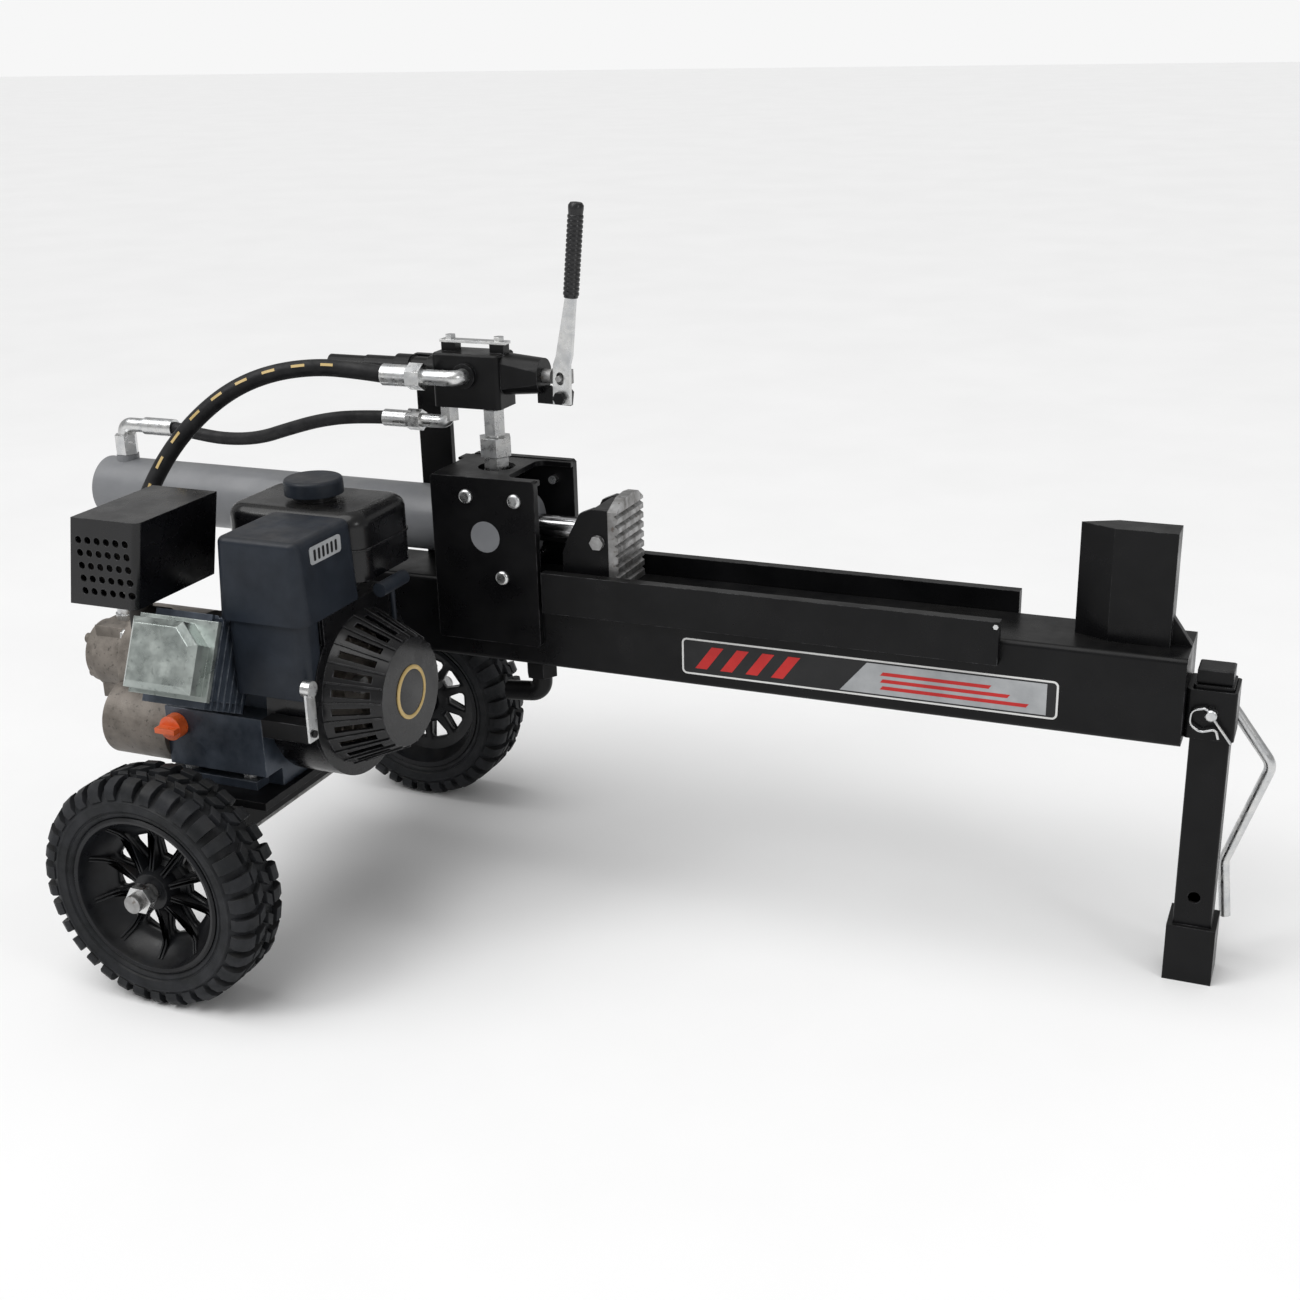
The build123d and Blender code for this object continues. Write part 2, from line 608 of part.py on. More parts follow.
def hose_fittings():
    start = Vector(*PRESSURE_ROUTE[0])
    nut_x = start.X + 34
    pressure = rod_x(start.X, nut_x, start.Y, start.Z, PRESSURE_HOSE_D / 2 + 2.5)
    pressure += hex_x(nut_x, nut_x + 18, start.Y, start.Z, 27)
    elbow = [(nut_x + 18, start.Y, start.Z), (INLET_X, start.Y, start.Z), (INLET_X, VALVE_Y0 - 5, start.Z)]
    pressure += bent_bar(elbow, 9, [10])
    rear_x, rear_y, rear_z = CYLINDER_ROUTE[0]
    rear = rod_x(rear_x - 44, rear_x, rear_y, rear_z, CYLINDER_HOSE_D / 2 + 3)
    elbow = [(rear_x - 44, rear_y, rear_z), (REAR_PORT_X, rear_y, rear_z), (REAR_PORT_X, 0, 505)]
    rear += bent_bar(elbow, 9, [12])
    rear += hex_z(REAR_PORT_X, 0, 482, 507, 25)
    end_x, end_y, end_z = CYLINDER_ROUTE[-1]
    work = rod_x(end_x, end_x + 32, end_y, end_z, CYLINDER_HOSE_D / 2 + 2)
    work += hex_x(end_x + 32, end_x + 50, end_y, end_z, 22)
    bend_x, bend_y = WORK_PORT_X, WORK_PORT_Y
    elbow = [(end_x + 50, end_y, end_z), (bend_x, bend_y - 4, end_z), (bend_x, bend_y, 574)]
    work += bent_bar(elbow, 8, [10]) + hex_z(WORK_PORT_X, WORK_PORT_Y, 561, VALVE_Z0, 20)
    pump_x, pump_y, pump_z = PRESSURE_ROUTE[-1]
    pump = rod_z(pump_x, pump_y, 352, 358, 14) + rod_z(pump_x, pump_y, 358, pump_z, 12)
    return [pressure, rear, work, pump]


def suction_fitting():
    top = BEAM_BOTTOM - 22
    fitting = rod_z(SUCTION_X, SUCTION_Y, top, BEAM_BOTTOM + 8, 9.9)
    fitting += hex_z(SUCTION_X, SUCTION_Y, top, BEAM_BOTTOM, 34)
    tail = [
        (SUCTION_X, SUCTION_Y, top + 2), (SUCTION_X, SUCTION_Y, top - 22),
        (SUCTION_X - 46, SUCTION_Y, top - 26),
    ]
    return fitting + bent_bar(tail, 12, [16])


def pump_body():
    body = rod_x(PUMP_X0 + 14, PUMP_X1, ENG_Y, ENG_Z, 42)
    body += block(PUMP_X0 + 14, PUMP_X1, ENG_Y - 30, ENG_Y + 30, ENG_Z - 46, ENG_Z + 42)
    body += rod_x(PUMP_X0, PUMP_X0 + 14, ENG_Y, ENG_Z, 37)
    for angle in range(45, 360, 90):
        y = ENG_Y + 29 * math.cos(math.radians(angle))
        z = ENG_Z + 29 * math.sin(math.radians(angle))
        body += rod_x(PUMP_X0 - 7, PUMP_X0, y, z, 6)
    body -= rod_x(PUMP_X1 - 12, PUMP_X1 + 1, ENG_Y, ENG_Z, 16)
    return body


def pump_mount():
    housing = rod_x(PUMP_X1, PTO_X, ENG_Y, ENG_Z, 62)
    lobe = rod_x(PUMP_X1, PTO_X, ENG_Y - 57, ENG_Z - 52, 42)
    housing = housing + lobe - rod_x(PUMP_X1 + 8, PTO_X + 1, ENG_Y, ENG_Z, 36)
    return housing - rod_x(PUMP_X1 - 1, PUMP_X1 + 9, ENG_Y, ENG_Z, 16)


# Engine

def crankcase():
    case = block(PTO_X, 76, ENG_Y - 62, ENG_Y + 78, ENG_BASE, ENG_Z + 50)
    case = fillet(case.edges().filter_by(Axis.X).group_by(Axis.Z)[-1], 36)
    case += block(PTO_X, 76, ENG_Y - 92, ENG_Y - 60, ENG_BASE + 22, ENG_Z - 16)
    foot = block(PTO_X - 2, 56, ENG_Y - 84, ENG_Y + 104, ENG_BASE, ENG_BASE + 10)
    case += foot
    for x, y in ENGINE_HOLES:
        case -= rod_z(x, y, ENG_BASE - 1, ENG_BASE + 11, 4.2)
    cavity = block(PTO_X + 7, 69, ENG_Y - 54, ENG_Y + 68, ENG_BASE + 14, ENG_Z + 40)
    case -= cavity
    case -= rod_x(PTO_X - 1, 77, ENG_Y, ENG_Z, SHAFT_R + 0.05)
    case -= rod_y(OIL_CAP_X, ENG_Y - 93, ENG_Y - 53, OIL_CAP_Z, 9)
    return case


def tilted(x0, x1, start, end, half_height):
    body = Box(x1 - x0, end - start, 2 * half_height)
    local = Pos((x0 + x1) / 2, -(start + end) / 2, 0) * body
    return Pos(0, ENG_Y, ENG_Z) * Rot(-CYL_TILT, 0, 0) * local


def cylinder_block():
    body = tilted(CYL_AXIS_X - 38, CYL_AXIS_X + 28, 72, 168, 40)
    for i in range(7):
        start = 78 + 11 * i
        body += tilted(CYL_AXIS_X - 50, CYL_AXIS_X + 29, start, start + 4, 50)
    body -= block(AIR_X0 - 1, CYL_AXIS_X + 30, AIR_Y0 - 40, AIR_Y1, AIR_SEAM - 1, AIR_SEAM + 20)
    return body - tilted(PTO_X - 40, 90, 40, 74, 60) - crankcase_envelope()


def crankcase_envelope():
    return block(PTO_X - 1, 77, ENG_Y - 62, ENG_Y + 78, ENG_BASE, ENG_Z + 50.2)


def valve_cover():
    flange = tilted(CYL_AXIS_X - 49, CYL_AXIS_X + 49, 168, 174, 42)
    dome = Box(84, 26, 74)
    upright = dome.edges().filter_by(Axis.Y)
    corner = upright.group_by(Axis.Z)[-1].sort_by(Axis.X)[-1]
    dome = chamfer(corner, 22)
    dome = chamfer(dome.faces().sort_by(Axis.Y)[0].edges(), 7)
    placement = Pos(0, ENG_Y, ENG_Z) * Rot(-CYL_TILT, 0, 0) * Pos(CYL_AXIS_X, -187, 0)
    return flange + placement * dome


def crankshaft():
    shaft = rod_x(-112, 150, ENG_Y, ENG_Z, SHAFT_R)
    shaft += rod_x(PTO_X + 14, PTO_X + 34, ENG_Y, ENG_Z, 34)
    shaft += rod_x(40, 60, ENG_Y, ENG_Z, 34)
    shaft += rod_x(-124, -90, ENG_Y, ENG_Z, 20)
    return shaft


def flywheel():
    wheel = rod_x(104, 124, ENG_Y, ENG_Z, 80) + rod_x(96, 140, ENG_Y, ENG_Z, 24)
    for angle in range(0, 360, 24):
        fin = block(124, 138, -1.5, 1.5, 46, 78)
        wheel += Pos(0, ENG_Y, ENG_Z) * Rot(angle, 0, 0) * fin
    return wheel - rod_x(95, 151, ENG_Y, ENG_Z, SHAFT_R)


def blower_housing():
    outer = rod_x(BLOWER_X0, 148, ENG_Y, ENG_Z, BLOWER_R)
    outer += block(BLOWER_X0, 148, ENG_Y - 70, ENG_Y + 62, ENG_Z, ENG_Z + 100)
    inner = rod_x(BLOWER_X0 + 3, 149, ENG_Y, ENG_Z, BLOWER_R - 3)
    inner += block(BLOWER_X0 + 3, 149, ENG_Y - 67, ENG_Y + 59, ENG_Z, ENG_Z + 97)
    shell = outer - inner
    return shell - rod_x(BLOWER_X0 - 1, BLOWER_X0 + 4, ENG_Y, ENG_Z, 60)


def recoil_cover():
    ring = rod_x(148, 152, ENG_Y, ENG_Z, BLOWER_R)
    ring += block(148, 152, ENG_Y - 70, ENG_Y + 62, ENG_Z, ENG_Z + 100)
    dish = Pos(152, ENG_Y, ENG_Z) * Rot(0, 90, 0) * Cone(86, 60, RECOIL_X - 152, align=FROM_BASE)
    hollow = Pos(147, ENG_Y, ENG_Z) * Rot(0, 90, 0) * Cone(84, 57, RECOIL_X - 150, align=FROM_BASE)
    cover = ring + dish - hollow
    for angle in range(0, 360, 15):
        slot = block(147, RECOIL_X - 12, -4, 4, 62, 82)
        cover -= Pos(0, ENG_Y, ENG_Z) * Rot(angle, 0, 0) * slot
    return cover - rod_z(HANDLE_X, HANDLE_GUIDE_Y, ENG_Z + 45, ENG_Z + 96, 4)


def recoil_handle():
    grip = rod_y(HANDLE_X, HANDLE_GUIDE_Y - 26, HANDLE_GUIDE_Y + 26, ENG_Z + 106, 8)
    stem = rod_z(HANDLE_X, HANDLE_GUIDE_Y, ENG_Z + 50, ENG_Z + 102, 3)
    return grip + stem


def fuel_tank():
    tank = block(TANK_X0, TANK_X1, TANK_Y0, TANK_Y1, TANK_BOTTOM, TANK_TOP)
    tank = fillet(tank.edges().filter_by(Axis.Z), 26)
    tank = fillet(tank.faces().sort_by(Axis.Z)[-1].edges(), 16)
    tank += rod_z(CAP_X, CAP_Y, TANK_TOP - 2, TANK_TOP + 6, 24)
    inner = block(TANK_X0 + TANK_WALL, TANK_X1 - TANK_WALL, TANK_Y0 + TANK_WALL, TANK_Y1 - TANK_WALL,
                  TANK_BOTTOM + TANK_WALL, TANK_TOP - TANK_WALL)
    inner = fillet(inner.edges().filter_by(Axis.Z), 23)
    inner = fillet(inner.faces().sort_by(Axis.Z)[-1].edges(), 14)
    return tank - inner - rod_z(CAP_X, CAP_Y, TANK_TOP - 10, TANK_TOP + 7, 21)


def fuel_cap():
    cap = rod_z(CAP_X, CAP_Y, 506.5, 524, 33)
    cap = fillet(cap.faces().sort_by(Axis.Z)[-1].edges(), 4)
    return cap + rod_z(CAP_X, CAP_Y, 500, 507, 20.3)


def oil_cap():
    y_face = ENG_Y - 92
    cap = rod_y(OIL_CAP_X, y_face - 14, y_face - 0.4, OIL_CAP_Z, OIL_CAP_R)
    wing = block(OIL_CAP_X - 13, OIL_CAP_X + 13, y_face - 24, y_face - 13, OIL_CAP_Z - 3, OIL_CAP_Z + 3)
    return cap + wing + rod_y(OIL_CAP_X, y_face - 1, y_face + 30, OIL_CAP_Z, 8.6)


def air_cleaner_base():
    base = block(AIR_X0 + 8, AIR_X1 - 4, AIR_Y0 + 4, AIR_Y0 + 40, AIR_Z0, AIR_SEAM - 0.4)
    base = fillet(base.edges().filter_by(Axis.Z), 12)
    base -= rod_x(BLOWER_X0 - 0.5, AIR_X1, ENG_Y, ENG_Z, BLOWER_R + 0.5)
    base -= block(BLOWER_X0 - 0.5, AIR_X1, ENG_Y - 70.5, AIR_Y1, ENG_Z, ENG_Z + 100.5)
    stud = rod_z((AIR_X0 + AIR_X1) / 2, -322, AIR_SEAM - 1, AIR_Z1 - 10, 3)
    return base + stud


def air_cleaner_cover():
    width, depth, height = AIR_X1 - AIR_X0, AIR_Y1 - AIR_Y0, AIR_Z1 - AIR_SEAM
    cover = extrude(RectangleRounded(width, depth, 15), height, taper=AIR_DRAFT)
    cover = fillet(cover.faces().sort_by(Axis.Z)[-1].edges(), 7)
    cover -= extrude(RectangleRounded(width - 8, depth - 8, 11), height - 4, taper=AIR_DRAFT)
    return Pos((AIR_X0 + AIR_X1) / 2, (AIR_Y0 + AIR_Y1) / 2, AIR_SEAM) * cover


def carburettor():
    bowl = rod_z(CARB_X, CARB_Y, 362, 384, 13)
    body = block(CARB_X - 15, CARB_X + 13, CARB_Y - 20, CARB_Y + 20, 384, AIR_SEAM - 0.4)
    return body + bowl


def guard_shell(outline, y0, y1, corner):
    shell = plate_xz(outline, y0, y1)
    near_right = shell.edges().group_by(Axis.Y)[0].sort_by(Axis.X)[-1]
    return fillet(near_right, corner)


def muffler_guard():
    guard = guard_shell(GUARD_OUTSIDE, GUARD_Y0, GUARD_Y1, 8)
    guard -= rod_z(MUFFLER_X, MUFFLER_Y, 420, 440, 16)
    guard -= guard_shell(GUARD_INSIDE, GUARD_Y0 + 3, GUARD_Y1 + 1, 5)
    for i in range(6):
        for j in range(5):
            guard -= rod_y(-90 + 12 * i, GUARD_Y0 - 1, GUARD_Y0 + 4, 440 + 14 * j, 4)
    return guard


def muffler():
    can = rod_x(-92, -34, MUFFLER_Y, 470, 36)
    pipe = rod_z(MUFFLER_X, MUFFLER_Y, 386, 440, 13) + rod_x(MUFFLER_X, CYL_AXIS_X - 51, MUFFLER_Y, 398, 13)
    return can + pipe


def throttle_lever():
    y0, y1 = THROTTLE_Y - 8, THROTTLE_Y + 8
    lever = block(THROTTLE_X, THROTTLE_X + 2.5, y0, y1, THROTTLE_Z - 8, THROTTLE_Z + 48)
    knob = rod_x(THROTTLE_X - 4, THROTTLE_X + 6, THROTTLE_Y, THROTTLE_Z + 50, 9)
    return lever + knob - rod_x(THROTTLE_X - 5, THROTTLE_X + 8, THROTTLE_Y, THROTTLE_Z, 4.06)


def control_bracket():
    arm = block(100, THROTTLE_X - 1, -358, -338, 290, 310) - rod_x(90, 160, ENG_Y, ENG_Z, BLOWER_R + 0.2)
    pivot = rod_x(THROTTLE_X - 1, THROTTLE_X + 5, THROTTLE_Y, THROTTLE_Z, 4)
    return arm + pivot


def engine_bolts():
    bolts = []
    for x, y in ENGINE_HOLES:
        bolt = rod_z(x, y, PLATE_TOP - PLATE_THICK - 6, ENG_BASE + 10, 4)
        bolts.append(bolt + hex_z(x, y, ENG_BASE + 10, ENG_BASE + 16, 14))
    return bolts


# Wheels

def tyre(y):
    carcass = rod_y(0, y - WHEEL_WIDTH / 2, y + WHEEL_WIDTH / 2, WHEEL_R, WHEEL_R)
    carcass = fillet(carcass.edges().filter_by(GeomType.CIRCLE), 16)
    return carcass - rod_y(0, y - WHEEL_WIDTH, y + WHEEL_WIDTH, WHEEL_R, RIM_R)


def rim(y, outside):
    half = WHEEL_WIDTH / 2 - 4
    body = rod_y(0, y - half, y + half, WHEEL_R, RIM_R)
    dish = rod_y(0, *sorted((y - outside * 6, y + outside * (half + 1))), WHEEL_R, RIM_R - 8)
    body -= dish
    body -= rod_y(0, *sorted((y - outside * 12, y - outside * (half + 1))), WHEEL_R, RIM_R - 8)
    body += rod_y(0, *sorted((y - outside * half, y + outside * (half - 4))), WHEEL_R, 24)
    for i in range(WINDOW_COUNT):
        window = block(-10, 10, y - half, y + half, 36, 58)
        spin = Pos(0, 0, WHEEL_R) * Rot(0, 360 / WINDOW_COUNT * (i + 0.5), 0)
        body -= spin * window
    return body - rod_y(0, y - half - 1, y + half + 1, WHEEL_R, AXLE_R + 0.06)


NODES = {
    "beam_tube": beam_tube,
    "beam_end_caps": beam_end_caps,
    "guide_rails": guide_rails,
    "wedge": wedge,
    "tower_plate_near": lambda: tower_plate(-1),
    "tower_plate_far": lambda: tower_plate(1),
    "tower_top_plate": tower_top_plate,
    "frame_bolts": frame_bolts,
    "leg_sleeve": leg_sleeve,
    "leg": leg,
    "leg_pin": leg_pin,
    "r_clip": r_clip,
    "axle": axle,
    "axle_bracket": axle_bracket,
    "engine_plate": engine_plate,
    "cylinder_barrel": cylinder_barrel,
    "cylinder_gland": cylinder_gland,
    "piston": piston,
    "piston_rod": piston_rod,
    "pusher_frame": pusher_frame,
    "push_plate": push_plate,
    "rod_pin": rod_pin,
    "valve_body": valve_body,
    "valve_strap": valve_strap,
    "detent_housing": detent_housing,
    "valve_spool": valve_spool,
    "lever_link": lever_link,
    "valve_lever": valve_lever,
    "lever_grip": lever_grip,
    "valve_bracket": valve_bracket,
    "port_adapter": port_adapter,
    "hose_fittings": hose_fittings,
    "suction_fitting": suction_fitting,
    "pressure_hose": lambda: hose(PRESSURE_ROUTE, PRESSURE_HOSE_D),
    "cylinder_hose": lambda: hose(CYLINDER_ROUTE, CYLINDER_HOSE_D),
    "pump_body": pump_body,
    "pump_mount": pump_mount,
    "crankcase": crankcase,
    "cylinder_block": cylinder_block,
    "valve_cover": valve_cover,
    "crankshaft": crankshaft,
    "flywheel": flywheel,
    "blower_housing": blower_housing,
    "recoil_cover": recoil_cover,
    "recoil_handle": recoil_handle,
    "fuel_tank": fuel_tank,
    "fuel_cap": fuel_cap,
    "oil_cap": oil_cap,
    "air_cleaner_base": air_cleaner_base,
    "air_cleaner_cover": air_cleaner_cover,
    "carburettor": carburettor,
    "muffler": muffler,
    "muffler_guard": muffler_guard,
    "control_bracket": control_bracket,
    "throttle_lever": throttle_lever,
    "engine_bolts": engine_bolts,
    "near_wheel_tyre": lambda: tyre(NEAR_WHEEL_Y),
    "near_wheel_rim": lambda: rim(NEAR_WHEEL_Y, -1),
    "far_wheel_tyre": lambda: tyre(FAR_WHEEL_Y),
    "far_wheel_rim": lambda: rim(FAR_WHEEL_Y, 1),
}


def placed(shape):
    pieces = shape if isinstance(shape, list) else [shape]
    solids = [solid for piece in pieces for solid in piece.solids()]
    return Pos(FRAME_SHIFT) * Compound(children=solids)


os.makedirs("parts", exist_ok=True)
for name, make in NODES.items():
    part = placed(make())
    export_step(part, "parts/%s.step" % name)
    box = part.bounding_box()
    print(name, len(part.solids()), box.min, box.max)
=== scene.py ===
import bpy
import bmesh
import json
import math
from mathutils import Matrix, Vector


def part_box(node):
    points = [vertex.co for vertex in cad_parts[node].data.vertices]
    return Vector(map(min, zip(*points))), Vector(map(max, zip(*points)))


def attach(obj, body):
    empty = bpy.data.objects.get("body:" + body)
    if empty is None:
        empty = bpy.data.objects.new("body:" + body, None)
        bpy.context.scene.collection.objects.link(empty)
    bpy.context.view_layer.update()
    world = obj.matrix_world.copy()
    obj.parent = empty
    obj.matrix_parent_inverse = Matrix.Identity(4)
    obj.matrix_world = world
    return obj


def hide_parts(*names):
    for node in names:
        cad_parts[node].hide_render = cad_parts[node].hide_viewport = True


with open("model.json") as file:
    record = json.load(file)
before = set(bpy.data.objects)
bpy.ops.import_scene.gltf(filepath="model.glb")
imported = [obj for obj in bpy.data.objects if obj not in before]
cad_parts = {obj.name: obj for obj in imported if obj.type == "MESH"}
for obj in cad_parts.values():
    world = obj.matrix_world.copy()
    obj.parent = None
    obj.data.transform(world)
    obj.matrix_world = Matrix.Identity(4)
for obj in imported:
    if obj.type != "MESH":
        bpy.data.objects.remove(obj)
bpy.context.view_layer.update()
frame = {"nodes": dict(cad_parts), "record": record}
NODES = frame["nodes"]
SCENE = bpy.context.scene
MM = 0.001


# Camera: fitted position and direction, in the model's frame

CAMERA_PLACE = Vector((0.7734, -1.6075, 0.9985))
CAMERA_AZIMUTH = math.radians(23.08)
CAMERA_ELEVATION = math.radians(20.25)
CAMERA_ROLL = math.radians(-1.41)
SENSOR = 36.0
FOCAL_LENGTH = SENSOR * 1727 / 1300


def add_camera():
    a, e = CAMERA_AZIMUTH, CAMERA_ELEVATION
    back = Vector((math.sin(a) * math.cos(e), -math.cos(a) * math.cos(e), math.sin(e)))
    level = Vector((math.cos(a), math.sin(a), 0))
    upright = back.cross(level)
    right = math.cos(CAMERA_ROLL) * level + math.sin(CAMERA_ROLL) * upright
    up = back.cross(right)
    data = bpy.data.cameras.new("camera")
    data.sensor_width = SENSOR
    data.lens = FOCAL_LENGTH
    data.clip_end = 50
    camera = bpy.data.objects.new("camera", data)
    camera.matrix_world = Matrix.Translation(CAMERA_PLACE) @ Matrix((right, up, back)).transposed().to_4x4()
    SCENE.collection.objects.link(camera)
    SCENE.camera = camera


# Hoses: the CAD routes as control points

PRESSURE_ROUTE = [
    (-0.2706, 0.086, 0.617), (-0.3046, 0.081, 0.621), (-0.3466, 0.065, 0.626), (-0.3926, 0.043, 0.621),
    (-0.4326, 0.023, 0.605), (-0.4696, 0.007, 0.577), (-0.5026, -0.009, 0.540), (-0.5266, -0.026, 0.497),
    (-0.5386, -0.048, 0.450), (-0.5386, -0.072, 0.405), (-0.5326, -0.090, 0.371),
]
CYLINDER_ROUTE = [
    (-0.6156, 0.138, 0.520), (-0.5806, 0.137, 0.515), (-0.5346, 0.135, 0.512), (-0.4826, 0.130, 0.518),
    (-0.4346, 0.126, 0.534), (-0.3886, 0.122, 0.548), (-0.3386, 0.119, 0.557), (-0.2926, 0.118, 0.559),
]
PRESSURE_HOSE = {"route": PRESSURE_ROUTE, "diameter": 0.020, "length": 0.472}
CYLINDER_HOSE = {"route": CYLINDER_ROUTE, "diameter": 0.016, "length": 0.330}


def spline_curve(name, route, radius):
    curve = bpy.data.curves.new(name, "CURVE")
    curve.dimensions = "3D"
    spline = curve.splines.new("NURBS")
    spline.points.add(len(route) - 1)
    for point, place in zip(spline.points, route):
        point.co = (*place, 1)
    spline.order_u = 3
    spline.use_endpoint_u = True
    spline.resolution_u = 12
    curve.bevel_depth = radius
    curve.bevel_resolution = 6
    curve.use_fill_caps = True
    piece = bpy.data.objects.new(name, curve)
    SCENE.collection.objects.link(piece)
    return piece


def centre_line(route):
    """Points along the smooth line that a route's control points make."""
    bare = spline_curve("line", route, 0)
    bare.data.use_fill_caps = False
    mesh = bpy.data.meshes.new_from_object(bare)
    points = [vertex.co.copy() for vertex in mesh.vertices]
    bpy.data.objects.remove(bare)
    return points


# Materials

class Finish:
    """A procedural material whose tone, roughness and relief are layered on its shader."""

    def __init__(self, name, metallic=0.0, specular=0.5, coat=0.0, coat_roughness=0.15, edge=0.8):
        self.material = bpy.data.materials.new(name)
        self.material.use_nodes = True
        self.tree = self.material.node_tree
        self.shader = self.tree.nodes["Principled BSDF"]
        self.shader.inputs["Metallic"].default_value = metallic
        self.shader.inputs["Specular IOR Level"].default_value = specular
        self.shader.inputs["Coat Weight"].default_value = coat
        self.shader.inputs["Coat Roughness"].default_value = coat_roughness
        self.place = self.add("TexCoord").outputs["Object"]
        self.geometry = self.add("NewGeometry")
        self.normal = self.geometry.outputs["Normal"]
        self.tone = None
        self.rounded = None
        if edge:
            bevel = self.add("Bevel", {"Radius": edge * MM}, samples=4)
            self.rounded = bevel.outputs[0]
            self.normal = self.rounded

    def add(self, kind, inputs=None, **settings):
        node = self.tree.nodes.new("ShaderNode" + kind)
        for key, value in settings.items():
            setattr(node, key, value)
        for key, value in (inputs or {}).items():
            if isinstance(value, bpy.types.NodeSocket):
                self.tree.links.new(value, node.inputs[key])
            else:
                node.inputs[key].default_value = value
        return node

    def noise(self, scale, detail=3.0, rough=0.5, stretch=None):
        place = self.place
        if stretch:
            place = self.add("Mapping", {"Vector": place, "Scale": stretch}).outputs[0]
        inputs = {"Vector": place, "Scale": scale, "Detail": detail, "Roughness": rough}
        return self.add("TexNoise", inputs).outputs[0]

    def spread(self, value, low_in, high_in, low=0.0, high=1.0):
        inputs = {"Value": value, "From Min": low_in, "From Max": high_in, "To Min": low, "To Max": high}
        return self.add("MapRange", inputs).outputs[0]

    def times(self, a, b):
        return self.add("Math", {0: a, 1: b}, operation="MULTIPLY").outputs[0]

    def blend(self, factor, first, second):
        inputs = {0: factor}
        for key, colour in ((6, first), (7, second)):
            inputs[key] = colour if isinstance(colour, bpy.types.NodeSocket) else (*colour, 1)
        return self.add("Mix", inputs, data_type="RGBA").outputs[2]

    def tones(self, dark, light, scale=40, stretch=None):
        mask = self.spread(self.noise(scale, 4, 0.6, stretch), 0.35, 0.65)
        self.tone = self.blend(mask, dark, light)
        return self

    def roughness(self, low, high, scale=60, stretch=None):
        value = self.spread(self.noise(scale, 4, 0.6, stretch), 0.35, 0.65, low, high)
        self.tree.links.new(value, self.shader.inputs["Roughness"])
        return self

    def relief(self, scale, depth, detail=2.0, stretch=None):
        height = self.noise(scale, detail, 0.5, stretch)
        inputs = {"Height": height, "Normal": self.normal, "Distance": depth * MM}
        self.normal = self.add("Bump", inputs).outputs[0]
        return self

    def dust(self, colour, amount, scale=25):
        upward = self.add("SeparateXYZ", {0: self.geometry.outputs["Normal"]}).outputs["Z"]
        patches = self.spread(self.noise(scale, 6, 0.7), 0.4, 0.7, 0, amount)
        mask = self.times(self.spread(upward, 0.3, 1.0), patches)
        self.tone = self.blend(mask, self.tone, colour)
        return self

    def worn_edges(self, colour, amount, scale=90):
        flat = self.geometry.outputs["Normal"]
        likeness = self.add("VectorMath", {0: self.rounded, 1: flat}, operation="DOT_PRODUCT")
        edge = self.spread(likeness.outputs["Value"], 0.998, 0.90)
        mask = self.times(edge, self.spread(self.noise(scale, 5, 0.7), 0.45, 0.6, 0, amount))
        self.tone = self.blend(mask, self.tone, colour)
        return self

    def spots(self, colour, amount, scale=300):
        mask = self.spread(self.noise(scale, 2, 0.5), 0.62, 0.72, 0, amount)
        self.tone = self.blend(mask, self.tone, colour)
        return self

    def done(self):
        self.tree.links.new(self.tone, self.shader.inputs["Base Color"])
        self.tree.links.new(self.normal, self.shader.inputs["Normal"])
        return self.material


